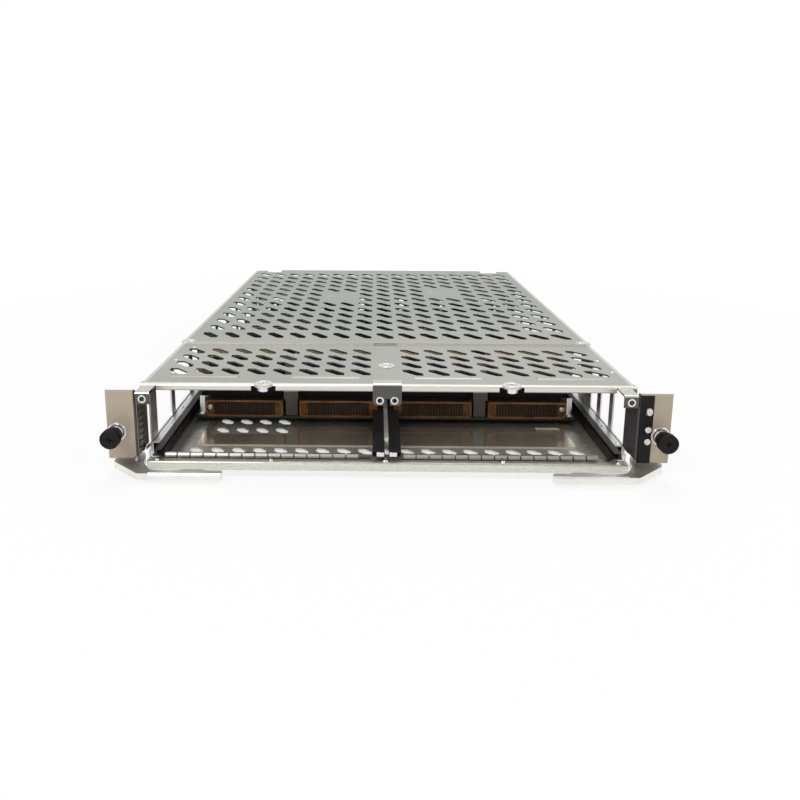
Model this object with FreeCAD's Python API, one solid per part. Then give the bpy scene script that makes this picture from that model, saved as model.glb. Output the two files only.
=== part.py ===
import FreeCAD, Part
import math
import os

V = FreeCAD.Vector

# Overall sizes in millimetres. X runs across the card, Y from front to rear, Z up.
# While modelling, Y counts from the front hem; the last step moves the origin to
# the middle of the underside.
BODY_WIDTH = 360.0      # over the folded skirts of tray and covers
PLATE_OVERHANG = 19.5   # each end plate beyond the body
BODY_HEIGHT = 65.0      # tray underside to the top of the rear cover
COVER_DEPTH = 505.0     # front hem to the rear edge of the rear cover
BAY_DEPTH = 113.0       # front hem to the step where the rear cover begins
REAR_REACH = 16.0       # rear connectors beyond the rear cover

# Folded sheet
SHEET = 1.2
BEND = 0.9              # inner radius of a bend
FOLD = 6.0              # flat kept beside a bend
SKIRT = 7.0             # height of the folded side skirts
FLANGE = 9.0            # flanges of the side walls
LAP = 8.0               # front cover tucked under the rear cover
FIT = 0.3               # room between pieces that pass each other

# Planes that follow from them
HALF = BODY_WIDTH / 2
CARD_HALF = HALF + PLATE_OVERHANG
WALL_OUT = HALF - SHEET
WALL_IN = WALL_OUT - SHEET
REAR_UNDER = BODY_HEIGHT - SHEET
FRONT_UNDER = REAR_UNDER - SHEET
REAR_END = COVER_DEPTH + REAR_REACH

# Perforation: slanted six-sided slots
COLUMN_PITCH = 20.0
SIDE_MARGIN = 20.0      # body edge to the outer column
SLOT_WIDE = 15.4
SLOT_NOTCH = 5.2        # length of the short end edges across the card
FRONT_SLOT_DEEP = 15.0
FRONT_ROW_FIRST = 31.0
FRONT_ROW_PITCH = 19.0
REAR_SLOT_DEEP = 19.0
REAR_ROW_FIRST = 25.0   # behind the step
REAR_ROW_PITCH = 27.8
REAR_ROW_MARGIN = 20.0  # last row kept this far from the rear edge
STUDS = ((-62.0, 207.0), (58.0, 235.0))  # X, and Y behind the step
STUD_PATCH_X = 25.0     # blank sheet round a stud, beyond it in X
STUD_PATCH_Y = 20.0

# Front cover
HEM_HEIGHT = 4.8
TONGUE_X = HALF / 2
TONGUE_Y = 1.5
TONGUE_R = 7.0
TONGUE_SIDES = 24
TONGUE_RELIEF = 9.0     # half width of the gap in the hem at a tongue
BEAD_COUNT = 4
BEAD_LENGTH = 50.0
BEAD_Y = 17.7
BEAD_PITCH = HALF / 2 + 1
BEAD_WIDTH = 3.2
BEAD_HEIGHT = 0.6
SEAM_SLOT_WIDE = 20.0
SEAM_SLOT_DEEP = 5.0
SCREW_HOLE_R = 1.7
SCREW_HEAD_R = 4.6
SCREW_LENGTH = 6.0
SCREW_SIDES = 12
NUT_SIDES = 6
CENTRE_SCREW_Y = 48.0
SIDE_SCREW_X = HALF - 7

# Rear edge of the rear cover
REAR_NOTCH = 25.0
REAR_NOTCH_DEEP = 12.0
REAR_NOTCH_X = HALF - 30

# Floor plate of the bays
PLATE_THICK = 0.8
PLATE_HALF = HALF - 30
PLATE_FRONT = 36.0
PLATE_REAR = BAY_DEPTH - 17
PLATE_CORNER = 2.0
NOTCH_LEFT = 6.0 - PLATE_HALF
NOTCH_RIGHT = 72.0 - PLATE_HALF
NOTCH_FRONT = 57.0
PLATE_WINDOW_OUT = 4.0  # small window, from the plate's right edge
PLATE_WINDOW_WIDE = 20.0
PLATE_WINDOW_Y = 66.0
PLATE_WINDOW_DEEP = 10.0

# Tray
LIP_HALF = HALF - 4
LIP_HEIGHT = 6.5
LIP_FRONT = 6.0         # lip in front of the hem
LIP_BACK = 2.0          # riser behind the hem
FLOOR_SLOT_PITCH = 16.4
FLOOR_SLOT_WIDE = 10.5
FLOOR_SLOT_DEEP = 10.0
SLOT_REACH_GAP = 32.0   # floor slots kept this far from the body's edge
FLOOR_ROW = 26.0        # row across the whole tray
NOTCH_ROWS = (67.0, 86.0)  # rows seen through the notch of the floor plate

# Side walls
WALL_START = 2.0
WALL_REAR_GAP = 5.0     # wall stops this far before the rear edge
WINDOW_LOW = 14.0
WINDOW_TOP_GAP = 9.0
WINDOW_CORNER = 1.6
WINDOW_LENGTH = 42.0
WINDOW_PITCH = 54.0
LEFT_BAY_WINDOWS = ((-1.0, 14.0), (29.0, 68.0), (78.0, 125.0))
RIGHT_BAY_WINDOWS = ((-1.0, 41.0), (49.0, 70.0), (79.0, 96.0))
LEFT_REAR_WINDOW = 138.0
RIGHT_REAR_WINDOW = 130.0
LEVER_ROOM = 12.0       # front lower corner cut away over the lever

# Board levels
BOARD_LOW = 5.8
BOARD_THICK = 2.4
BOARD_TOP = BOARD_LOW + BOARD_THICK

# Partitions
BULKHEAD_Y = BAY_DEPTH + 37
BULKHEAD_FLANGE = 13.0
REAR_WALL_Y = COVER_DEPTH - 7
SHELF_DROP = 5.5        # shelf below the rear cover
SHELF_DEEP = 82.0
SHELF_GAPS = (-60.0, 20.0)
SHELF_GAP_WIDE = 15.0
BEAM_DEEP = 18.0
BEAM_HEIGHT = 2.2
TOP_RAIL_HALF = 8.0
TOP_RAIL_HEIGHT = 4.6
SHIELD_LEFT = 36.0 - HALF
SHIELD_RIGHT = HALF - 40
SHIELD_LAP = 20.0

# Guides for the cards in the bays
RAIL_OUT = HALF - 9.5
RAIL_WIDE = 5.0
RAIL_LOW = 10.8
RAIL_HEIGHT = 4.0
RAIL_GROOVE = 1.8
RAIL_GROOVE_DEEP = 3.0
RAIL_WEB = 2.0
RAIL_FRONT = -5.0
RAIL_FOOT_FRONT = 9.0
RAIL_REAR = BAY_DEPTH + 22
LEAD_LENGTH = 6.0       # flared start of a groove
LEAD_FLARE = 0.8
CENTRE_RAIL_WIDE = 8.9
RIB_WIDE = 3.2
RIB_TOP = 16.0
RIB_FRONT = 17.0
RIB_REAR = BAY_DEPTH - 9
RIB_CORNER = 3.0
LEDGE_LOW = 4.0         # lower edge of the ledge beside a guide

# Finger strips
FINGER_PITCH = 9.6
FINGER_GAP = 1.0
FINGER_THICK = 0.4
FINGER_HEIGHT = 4.0
FINGER_DEEP = 4.6
FINGER_BEND = 1.4
FINGER_OPEN = 1.2       # free edge of a finger above the base
STRIP_CENTRE_GAP = 12.0
STRIP_END_GAP = 1.0
SIDE_FINGER_RISE = 1.4
SIDE_FINGER_END = 2.0
SIDE_FINGER_SLOPE = 4.0

# End plates
PLATE_SHEET = 1.5
PLATE_FACE = 15.5       # front face, in front of the hem
PLATE_LOW = 11.8
PLATE_TOP = BODY_HEIGHT - 1.2
PLATE_Y = -PLATE_FACE
PLATE_BACK_Y = PLATE_Y + PLATE_SHEET
RETURN_BACK = 10.0      # plate's return flange, behind the hem
RETURN_LOW = 14.5
RETURN_TOP = PLATE_TOP - 9.3
FOOT_BACK = 7.0         # plate's foot flange, behind the hem
TAB_WIDE = 10.0
TAB_HEIGHT = 9.0
TAB_STRIP_BACK = 5.5
TAB_HOLE_DROP = 5.1
THREAD_R = 1.25
COLLAR_R = 2.4
COLLAR_SIDES = 8
COLLAR_LENGTH = 3.0
CENTRE_TAB_HALF = 10.5
CENTRE_TAB_DROP = 15.0
CENTRE_TAB_CORNER = 3.0
CENTRE_TAB_BACK = 9.0
CENTRE_NOTCH_HALF = 2.0
CENTRE_NOTCH_HEIGHT = 5.0
CENTRE_HOLE_X = 5.3
CENTRE_HOLE_DROP = 11.2

# Levers
LEVER_LOW = 3.0
LEVER_THICK = 5.0
PIVOT_X = CARD_HALF - 12.5
PIVOT_Y = -1.0
PIN_R = 2.5
PIN_GAP = 0.05
PIN_HEAD_R = 4.2
PIN_HEAD = 1.2
PIN_SIDES = 16
ARM_LENGTH = 71.0       # pivot to the arm's end, across the card
ARM_REACH = 29.0        # pivot to the arm's front edge
ARM_WIDE = 6.0
ARM_BEVEL = 1.2
GRIP_START = 39.0       # raised stretch behind the arm, from the pivot
GRIP_END = 59.0
GRIP_RISE = 1.7
GRIP_SLOPE = 4.0
ELBOW = 19.0
NECK = 8.5
CLAW_BACK = 7.5
CLAW_GAP = 3.2          # half height of the claw's mouth
CLAW_MOUTH = 6.5        # mouth's bottom, from the pivot

# Captive screws
SCREW_R = 2.0
KNOB_R = 7.0
KNOB_SIDES = 24
KNOB_LENGTH = 10.0
SCREW_TRAVEL = 4.0
KNOB_CAVITY = SCREW_TRAVEL + 2
KNOB_WALL = 3.0         # knob's front wall over the screw
CROSS_LONG = 3.2
CROSS_WIDE = 0.7
CROSS_DEEP = 2.0
FERRULE_R = 4.9
FERRULE_NECK = 3.9
FERRULE_LENGTH = 5.5
SCREW_TIP = 6.0         # tip behind the plate's rear face
TIP_CHAMFER = 0.8
RING_R = 3.6
RING_THICK = 0.8
GROOVE_R = 1.6
SCREW_X = CARD_HALF - KNOB_R
SCREW_Z = PLATE_LOW + (PLATE_TOP - PLATE_LOW) * 0.41
KNOB_REAR = PLATE_Y - FERRULE_LENGTH - FIT
KNOB_FRONT = KNOB_REAR - KNOB_LENGTH

# Indicator strip on the right plate
STRIP_THICK = 0.6
STRIP_WIDE = 9.4
STRIP_GAP = 0.9         # strip from the plate's inner edge
STRIP_MARGIN = 1.0
BUTTON_Z = PLATE_TOP - 12.8
UPPER_LENS_Z = PLATE_TOP - 26.1
LOWER_LENS_Z = PLATE_TOP - 35.0
BUTTON_WIDE = 3.8
BUTTON_TALL = 5.2
BUTTON_CORNER = 0.8
BUTTON_PROUD = 1.0
BUTTON_FOOT = 1.0
SWITCH_MARGIN = 2.6
SWITCH_WALL = 1.2
SWITCH_DEEP = 8.0
SWITCH_ROOM = 4.0
LENS_R = 2.2
LENS_SIDES = 16
LENS_PROUD = 0.4
LENS_FLANGE = 2.0
RIGHT_INNER = WALL_IN - PLATE_SHEET
STRIP_IN = RIGHT_INNER + STRIP_GAP
STRIP_X = STRIP_IN + 6.6

# Board and what it carries
BOARD_HALF = RAIL_OUT - RAIL_WIDE - 3.5
BOARD_FRONT = BAY_DEPTH - 30
BOARD_REAR = COVER_DEPTH + 3
STANDOFF_R = 3.0
STANDOFF_SIDES = 6
STANDOFF_IN = 9.0
STANDOFF_ROWS = 4
STANDOFF_FRONT = 24.0
STANDOFF_REAR = 36.0
CONNECTOR_PITCH = (HALF - 20) / 2
CONNECTOR_WIDE = CONNECTOR_PITCH - 14
CONNECTOR_FACE = BOARD_FRONT - 1
CONNECTOR_REAR = BAY_DEPTH + 9
CONNECTOR_BLOCK = 22.5
CONNECTOR_TOP_HIGH = FRONT_UNDER - 2.6
CONNECTOR_TOP_LOW = FRONT_UNDER - 9.6
CONNECTOR_TOP_DEEP = 16.0
CONNECTOR_BACK = 5.0
CONTACT_PITCH = 2.8
CONTACT_COUNT = 17
CONTACT_WIDE = 1.6
CONTACT_DEEP = 5.0
CONTACT_LOW = 2.4       # slots above the connector's underside
CONTACT_TOP = 2.0
WAFER_SETBACK = 10.0
WAFER_IN = 2.0
GUIDE_PIN_R = 2.2
GUIDE_PIN_IN = 4.5      # pin from the connector's outer end
GUIDE_PIN_Z = 17.7
GUIDE_PIN_OUT = 4.0
GUIDE_PIN_SEAT = 8.0
GUIDE_PIN_TIP = 2.0
POST_WIDE = 10.0
POST_DEEP = 8.0
POST_Y = CONNECTOR_FACE + 2
POST_TAB_LOW = 24.0
POST_TAB_HIGH = 32.0
POST_TAB_OUT = 3.6
POST_TAB_SIDE = 1.0
CHIP_HALF = 22.0
CHIP_HEIGHT = 2.6
SINK_TOP = FRONT_UNDER - 15
SINK_BASE = 4.0
FIN = 1.6
FIN_PITCH = 8.0
# Heat sinks: name, X range, and Y range as shares of the room behind the bulkhead
SINKS = (("left_heatsink", 22 - BOARD_HALF, 126 - BOARD_HALF, 0.16, 0.475),
         ("right_heatsink", BOARD_HALF - 138, BOARD_HALF - 22, 0.135, 0.505))
MODULES = (12 - BOARD_HALF, 82 - BOARD_HALF, BOARD_HALF - 102)
MODULE_ROW = 0.61
MODULE_SIZE = (56.0, 40.0, 12.0)
SOCKET_X = BOARD_HALF - 8
SOCKET_SIZE = 12.0
SOCKET_R = 3.5
SOCKET_LENGTH = 20.0
BACK_COUNT = 5
BACK_PITCH = (SOCKET_X - SOCKET_SIZE) * 2 / BACK_COUNT
BACK_WIDE = BACK_PITCH - 7
BACK_DEEP = 34.0
BACK_HEIGHT = 17.0
BACK_SLOTS = 3
BACK_SLOT = 2.0
BACK_SLOT_DEEP = 9.0
BACK_WALL = 2.5
BACK_CLEAR = 2.0        # rear wall above the rear connectors

# Origin: middle of the whole card's underside
ORIGIN_Y = (REAR_END + KNOB_FRONT) / 2

TURN = {"X": FreeCAD.Rotation(V(1, 1, 1), 120),
        "Y": FreeCAD.Rotation(V(1, 0, 0), 90),
        "Z": FreeCAD.Rotation()}
ALONG = {"X": V(1, 0, 0), "Y": V(0, 1, 0), "Z": V(0, 0, 1)}


def outline(points):
    """Closed wire through (u, v) points; a third number rounds that corner."""
    corners = []
    for i, point in enumerate(points):
        here = V(point[0], point[1], 0)
        if len(point) < 3:
            corners.append((here, None, here))
            continue
        before = V(*points[i - 1][:2], 0)
        after = V(*points[(i + 1) % len(points)][:2], 0)
        back = (before - here).normalize()
        ahead = (after - here).normalize()
        half = back.getAngle(ahead) / 2
        reach = point[2] / math.tan(half)
        inward = (back + ahead).normalize()
        middle = here + inward * (point[2] / math.sin(half) - point[2])
        corners.append((here + back * reach, middle, here + ahead * reach))
    edges = []
    for i, (start, middle, end) in enumerate(corners):
        if middle:
            edges.append(Part.Arc(start, middle, end).toShape())
        following = corners[(i + 1) % len(corners)][0]
        if end.distanceToPoint(following) > 1e-6:
            edges.append(Part.makeLine(end, following))
    return Part.Wire(edges)


def prism(axis, start, end, points, holes=()):
    """Outline pushed along an axis. The points are (y, z), (x, z) or (x, y)."""
    wires = [outline(points)] + [outline(hole) for hole in holes]
    face = Part.makeFace(wires, "Part::FaceMakerBullseye")
    face.Placement = FreeCAD.Placement(ALONG[axis] * start, TURN[axis])
    return face.extrude(ALONG[axis] * (end - start))


def rectangle(u0, u1, v0, v1, radius=None):
    corners = ((u0, v0), (u1, v0), (u1, v1), (u0, v1))
    if radius is None:
        return list(corners)
    return [(u, v, radius) for u, v in corners]


def clipped(u0, u1, v0, v1, corner):
    """Rectangle with its corners cut off."""
    c = corner
    return [(u0 + c, v0), (u1 - c, v0), (u1, v0 + c), (u1, v1 - c),
            (u1 - c, v1), (u0 + c, v1), (u0, v1 - c), (u0, v0 + c)]


def block(x0, x1, y0, y1, z0, z1):
    return Part.makeBox(x1 - x0, y1 - y0, z1 - z0, V(x0, y0, z0))


def rod(axis, radius, start, end, u, v):
    """Cylinder along an axis; u and v are the two other coordinates in X, Y, Z order."""
    place = {"X": V(start, u, v), "Y": V(u, start, v), "Z": V(u, v, start)}[axis]
    return Part.makeCylinder(radius, end - start, place, ALONG[axis])


def polygon(radius, sides, u, v):
    """Corners of an even polygon round (u, v)."""
    turns = [2 * math.pi * (i + 0.5) / sides for i in range(sides)]
    return [(u + radius * math.cos(a), v + radius * math.sin(a)) for a in turns]


def peg(axis, radius, sides, start, end, u, v):
    """Many-sided rod, for small parts that need no true round face."""
    return prism(axis, start, end, polygon(radius, sides, u, v))


def joined(*shapes):
    return shapes[0].fuse(list(shapes[1:])).removeSplitter()


def cut(shape, *tools):
    return shape.cut(list(tools)) if tools else shape


def mirrored(shape):
    return shape.mirror(V(0, 0, 0), V(1, 0, 0))


def angle(u, v, du, dv, leg_u, leg_v, sheet=SHEET):
    """Section of a folded edge with its outer corner at (u, v)."""
    return [(u, v, BEND + sheet),
            (u + du * leg_u, v),
            (u + du * leg_u, v + dv * sheet),
            (u + du * sheet, v + dv * sheet, BEND),
            (u + du * sheet, v + dv * leg_v),
            (u, v + dv * leg_v)]


def slot(x, y, wide, deep):
    """Six-sided slot that slants from the rear left to the front right."""
    a = wide / 2
    b = deep / 2
    short_y = SLOT_NOTCH * deep / wide
    return [(x - a, y + b), (x - a, y + b - short_y), (x + a - SLOT_NOTCH, y - b),
            (x + a, y - b), (x + a, y - b + short_y), (x - a + SLOT_NOTCH, y + b)]


def columns():
    count = int((HALF - SIDE_MARGIN) / COLUMN_PITCH)
    return [COLUMN_PITCH * i for i in range(-count, count + 1)]


def countersink(x, y, top):
    """Flat screw head and shank; the same shape cuts the hole for it."""
    rings = []
    for radius, z in ((SCREW_HOLE_R, top - SHEET), (SCREW_HEAD_R, top)):
        corners = [V(u, v, z) for u, v in polygon(radius, SCREW_SIDES, x, y)]
        rings.append(Part.makePolygon(corners + corners[:1]))
    head = Part.makeLoft(rings, True, True)
    return joined(head, peg("Z", SCREW_HOLE_R, SCREW_SIDES, top - SCREW_LENGTH, top - SHEET, x, y))


def side_skirts(start, end, corner_z, down):
    """Left and right folded skirts of a tray or cover, with the flat beside them."""
    section = angle(-HALF, corner_z, 1, down, FOLD, SKIRT)
    left = prism("Y", start, end, section)
    return left, mirrored(left)


def floor_slots():
    """One row across the whole tray and short rows under the floor plate's notch."""
    half_count = int((HALF - SLOT_REACH_GAP) / FLOOR_SLOT_PITCH)
    places = [(FLOOR_SLOT_PITCH * i, FLOOR_ROW) for i in range(-half_count, half_count + 1)]
    count = int((NOTCH_RIGHT - NOTCH_LEFT) / FLOOR_SLOT_PITCH)
    middle = (NOTCH_LEFT + NOTCH_RIGHT) / 2
    for y in NOTCH_ROWS:
        for i in range(count):
            places.append((middle + FLOOR_SLOT_PITCH * (i - (count - 1) / 2), y))
    return [slot(x, y, FLOOR_SLOT_WIDE, FLOOR_SLOT_DEEP) for x, y in places]


def base_tray():
    flat_start = LIP_BACK + FOLD
    inner = HALF - FOLD
    floor = prism("Z", 0, SHEET, rectangle(-inner, inner, flat_start, COVER_DEPTH), floor_slots())
    skirts = side_skirts(LEVER_ROOM, COVER_DEPTH, 0, 1)
    bend = BEND + SHEET
    lip = prism("X", -LIP_HALF, LIP_HALF, [
        (flat_start, 0), (LIP_BACK, 0, bend), (LIP_BACK, LIP_HEIGHT - SHEET, BEND),
        (SHEET - LIP_FRONT, LIP_HEIGHT - SHEET, BEND), (SHEET - LIP_FRONT, 0),
        (-LIP_FRONT, 0), (-LIP_FRONT, LIP_HEIGHT, bend), (LIP_BACK + SHEET, LIP_HEIGHT, bend),
        (LIP_BACK + SHEET, SHEET, BEND), (flat_start, SHEET)])
    return joined(floor, lip, *skirts)


def bay_floor_plate():
    shape = [(-PLATE_HALF, PLATE_FRONT), (PLATE_HALF, PLATE_FRONT), (PLATE_HALF, PLATE_REAR),
             (NOTCH_RIGHT, PLATE_REAR), (NOTCH_RIGHT, NOTCH_FRONT, PLATE_CORNER),
             (NOTCH_LEFT, NOTCH_FRONT, PLATE_CORNER), (NOTCH_LEFT, PLATE_REAR),
             (-PLATE_HALF, PLATE_REAR)]
    right = PLATE_HALF - PLATE_WINDOW_OUT
    window = rectangle(right - PLATE_WINDOW_WIDE, right, PLATE_WINDOW_Y,
                       PLATE_WINDOW_Y + PLATE_WINDOW_DEEP)
    return prism("Z", SHEET, SHEET + PLATE_THICK, shape, [window])


def side_wall(bay_windows, rear_window):
    """Left-hand wall: a web with windows, a foot flange and two top flanges."""
    end = COVER_DEPTH - WALL_REAR_GAP
    middle = BAY_DEPTH + LAP + FOLD
    windows = [w for w in bay_windows if w[0] > WALL_START]
    start = rear_window
    while start + WINDOW_LENGTH < end - FOLD:
        windows.append((start, start + WINDOW_LENGTH))
        start += WINDOW_PITCH
    web_low = SHEET + FOLD
    web_high = FRONT_UNDER - FOLD
    window_top = FRONT_UNDER - WINDOW_TOP_GAP
    holes = [clipped(y0, y1, WINDOW_LOW, window_top, WINDOW_CORNER) for y0, y1 in windows]
    web = prism("X", -WALL_OUT, -WALL_IN, rectangle(WALL_START, end, web_low, web_high), holes)
    foot = prism("Y", WALL_START, end, angle(-WALL_OUT, SHEET, 1, 1, FLANGE, FOLD))
    front_top = prism("Y", RETURN_BACK, middle - FIT,
                      angle(-WALL_OUT, FRONT_UNDER, 1, -1, FLANGE, FOLD))
    front_edge = block(-WALL_OUT, -WALL_IN, WALL_START, RETURN_BACK, web_high,
                       web_high + FOLD - SHEET - BEND)
    rear_top = prism("Y", middle, end,
                     angle(-WALL_OUT, REAR_UNDER, 1, -1, FLANGE, FOLD + SHEET))
    wall = joined(web, foot, front_top, front_edge, rear_top)
    lever_room = block(-HALF, -WALL_IN + FLANGE, 0, LEVER_ROOM, 0, LEVER_ROOM)
    opening = block(-HALF, -WALL_IN + SHEET, WALL_START - SHEET, bay_windows[0][1],
                    WINDOW_LOW, window_top)
    screw = peg("Z", SCREW_HOLE_R, SCREW_SIDES, FRONT_UNDER - SHEET, FRONT_UNDER,
                -SIDE_SCREW_X, side_screw_y())
    return cut(wall, lever_room, opening, screw)


def rail_ledge():
    """Left-hand angle on the wall; its ledge closes the gap beside the guide rail."""
    section = angle(-WALL_IN, WINDOW_LOW, 1, -1, WALL_IN - RAIL_OUT, WINDOW_LOW - LEDGE_LOW)
    return prism("Y", LEVER_ROOM + FIT, RAIL_REAR, section)


def side_screw_y():
    return BAY_DEPTH + LAP - SCREW_HOLE_R - SHEET


def left_tab_x():
    return FIT - WALL_OUT


def right_tab_x():
    return FIT + PLATE_SHEET - WALL_IN


def front_slots():
    last = BAY_DEPTH - SEAM_SLOT_DEEP - FIT - FRONT_SLOT_DEEP / 2
    rows = int((last - FRONT_ROW_FIRST) / FRONT_ROW_PITCH) + 1
    slots = []
    for row in range(rows):
        y = FRONT_ROW_FIRST + FRONT_ROW_PITCH * row
        slots += [slot(x, y, SLOT_WIDE, FRONT_SLOT_DEEP) for x in columns() if x]
    seam = BAY_DEPTH - FIT - SEAM_SLOT_DEEP
    slots.append(rectangle(-SEAM_SLOT_WIDE / 2, SEAM_SLOT_WIDE / 2, seam, seam + SEAM_SLOT_DEEP))
    return slots


def stiffening_beads():
    low = REAR_UNDER
    section = [(BEAD_Y - BEAD_WIDTH / 2, low), (BEAD_Y + BEAD_WIDTH / 2, low),
               (BEAD_Y + BEAD_WIDTH / 4, low + BEAD_HEIGHT),
               (BEAD_Y - BEAD_WIDTH / 4, low + BEAD_HEIGHT)]
    beads = []
    for i in range(BEAD_COUNT):
        x = BEAD_PITCH * (i - (BEAD_COUNT - 1) / 2)
        beads.append(prism("X", x - BEAD_LENGTH / 2, x + BEAD_LENGTH / 2, section))
    return beads


def hem_gap(x0, x1):
    """Room in the hem for a strip or a tongue that passes it."""
    return block(x0, x1, -SHEET, SHEET + BEND, REAR_UNDER - HEM_HEIGHT - SHEET, FRONT_UNDER)


def front_cover():
    inner = HALF - FOLD
    rear = BAY_DEPTH + LAP
    sheet = prism("Z", FRONT_UNDER, REAR_UNDER, rectangle(-inner, inner, FOLD, rear), front_slots())
    hem = prism("X", -HALF, HALF, angle(0, REAR_UNDER, 1, -1, FOLD, HEM_HEIGHT))
    skirts = side_skirts(FOLD, BAY_DEPTH - SHEET, REAR_UNDER, -1)
    tail = block(-WALL_OUT, -inner, BAY_DEPTH - SHEET, rear, FRONT_UNDER, REAR_UNDER)
    cover = joined(sheet, hem, *skirts, tail, mirrored(tail), *stiffening_beads())
    gaps = []
    for x in (left_tab_x(), -right_tab_x() - TAB_WIDE):
        gaps.append(hem_gap(x - FIT, x + TAB_WIDE + FIT))
    tongues = []
    holes = [countersink(0, CENTRE_SCREW_Y, REAR_UNDER)]
    for x in (-TONGUE_X, TONGUE_X):
        gaps.append(hem_gap(x - TONGUE_RELIEF, x + TONGUE_RELIEF))
        tongues.append(peg("Z", TONGUE_R, TONGUE_SIDES, FRONT_UNDER, REAR_UNDER, x, TONGUE_Y))
        holes.append(countersink(x, TONGUE_Y, REAR_UNDER))
    for x in (-SIDE_SCREW_X, SIDE_SCREW_X):
        holes.append(peg("Z", SCREW_HOLE_R, SCREW_SIDES, FRONT_UNDER, REAR_UNDER, x, side_screw_y()))
    return cut(joined(cut(cover, *gaps), *tongues), *holes)


def rear_slots():
    rows = int((COVER_DEPTH - BAY_DEPTH - REAR_ROW_FIRST - REAR_ROW_MARGIN) / REAR_ROW_PITCH) + 1
    slots = []
    for row in range(rows):
        y = BAY_DEPTH + REAR_ROW_FIRST + REAR_ROW_PITCH * row
        for x in columns():
            blank = any(-STUD_PATCH_Y / 4 <= x - sx < STUD_PATCH_X
                        and abs(y - BAY_DEPTH - sy) < STUD_PATCH_Y for sx, sy in STUDS)
            if not blank:
                slots.append(slot(x, y, SLOT_WIDE, REAR_SLOT_DEEP))
    return slots


def rear_cover():
    inner = HALF - FOLD
    sheet = prism("Z", REAR_UNDER, BODY_HEIGHT, rectangle(-inner, inner, BAY_DEPTH, COVER_DEPTH),
                  rear_slots())
    skirts = side_skirts(BAY_DEPTH + LAP, COVER_DEPTH, BODY_HEIGHT, -1)
    tail = block(-HALF, -inner, BAY_DEPTH, BAY_DEPTH + LAP, REAR_UNDER, BODY_HEIGHT)
    cover = joined(sheet, *skirts, tail, mirrored(tail))
    tools = []
    for x in (-REAR_NOTCH_X, REAR_NOTCH_X):
        tools.append(block(x - REAR_NOTCH / 2, x + REAR_NOTCH / 2, COVER_DEPTH - REAR_NOTCH_DEEP,
                           COVER_DEPTH + SHEET, REAR_UNDER - SHEET, BODY_HEIGHT + SHEET))
    for x in (-SIDE_SCREW_X, SIDE_SCREW_X):
        tools.append(countersink(x, side_screw_y(), BODY_HEIGHT))
    for x, y in STUDS:
        tools.append(peg("Z", SCREW_HOLE_R, SCREW_SIDES, REAR_UNDER, BODY_HEIGHT, x, BAY_DEPTH + y))
    return cut(cover, *tools)


def cover_screws():
    """All cover screws as one group of separate solids."""
    screws = [countersink(x, TONGUE_Y, REAR_UNDER) for x in (-TONGUE_X, TONGUE_X)]
    screws.append(countersink(0, CENTRE_SCREW_Y, REAR_UNDER))
    screws += [countersink(x, side_screw_y(), BODY_HEIGHT) for x in (-SIDE_SCREW_X, SIDE_SCREW_X)]
    for x, y in STUDS:
        y += BAY_DEPTH
        low = BODY_HEIGHT - SCREW_LENGTH
        shank = peg("Z", SCREW_HOLE_R, SCREW_SIDES, low, BODY_HEIGHT, x, y)
        nut = peg("Z", SCREW_HEAD_R, NUT_SIDES, REAR_UNDER - SHEET, REAR_UNDER, x, y)
        screws.append(joined(shank, nut))
    return Part.makeCompound(screws)


def seam_beam():
    """Shallow hat under the lap of the covers."""
    y0 = BAY_DEPTH + LAP - BEAM_DEEP
    y1 = BAY_DEPTH + LAP
    low = FRONT_UNDER - BEAM_HEIGHT
    half = WALL_IN - FLANGE - FIT
    hat = [(y0, low), (y0 + FOLD / 2, low), (y0 + FOLD / 2, FRONT_UNDER - SHEET),
           (y1 - FOLD / 2, FRONT_UNDER - SHEET), (y1 - FOLD / 2, low), (y1, low),
           (y1, FRONT_UNDER), (y0, FRONT_UNDER)]
    return prism("X", -half, half, hat)


def centre_top_rail():
    """Channel under the blank middle of the front cover."""
    low = FRONT_UNDER - TOP_RAIL_HEIGHT
    h = TOP_RAIL_HALF
    section = [(-h, low), (-h, FRONT_UNDER, BEND + SHEET), (h, FRONT_UNDER, BEND + SHEET), (h, low),
               (h - SHEET, low), (h - SHEET, FRONT_UNDER - SHEET, BEND),
               (-h + SHEET, FRONT_UNDER - SHEET, BEND), (-h + SHEET, low)]
    rail = prism("Y", SHEET + BEND + FIT, BAY_DEPTH + LAP - BEAM_DEEP - FIT, section)
    return cut(rail, peg("Z", SCREW_HOLE_R, SCREW_SIDES, low, FRONT_UNDER, 0, CENTRE_SCREW_Y))


def centre_bracket():
    """Plate hung over the hem, with two threaded lugs for the cards in the bays."""
    h = CENTRE_TAB_HALF
    n = CENTRE_NOTCH_HALF
    low = REAR_UNDER - CENTRE_TAB_DROP
    high = REAR_UNDER - BEND
    notch = low + CENTRE_NOTCH_HEIGHT
    front = prism("Y", -SHEET, 0, [
        (-h, low, CENTRE_TAB_CORNER), (-n, low), (-n, notch), (n, notch), (n, low),
        (h, low, CENTRE_TAB_CORNER), (h, high), (-h, high)])
    hook = prism("X", -h, h, [(-SHEET, high), (-SHEET, BODY_HEIGHT, BEND + SHEET),
                              (CENTRE_TAB_BACK, BODY_HEIGHT), (CENTRE_TAB_BACK, REAR_UNDER),
                              (0, REAR_UNDER, BEND), (0, high)])
    collars = []
    holes = []
    z = REAR_UNDER - CENTRE_HOLE_DROP
    for x in (-CENTRE_HOLE_X, CENTRE_HOLE_X):
        collars.append(peg("Y", COLLAR_R, COLLAR_SIDES, 0, COLLAR_LENGTH, x, z))
        holes.append(rod("Y", THREAD_R, -SHEET, COLLAR_LENGTH, x, z))
    return cut(joined(front, hook, *collars), *holes)


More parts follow.
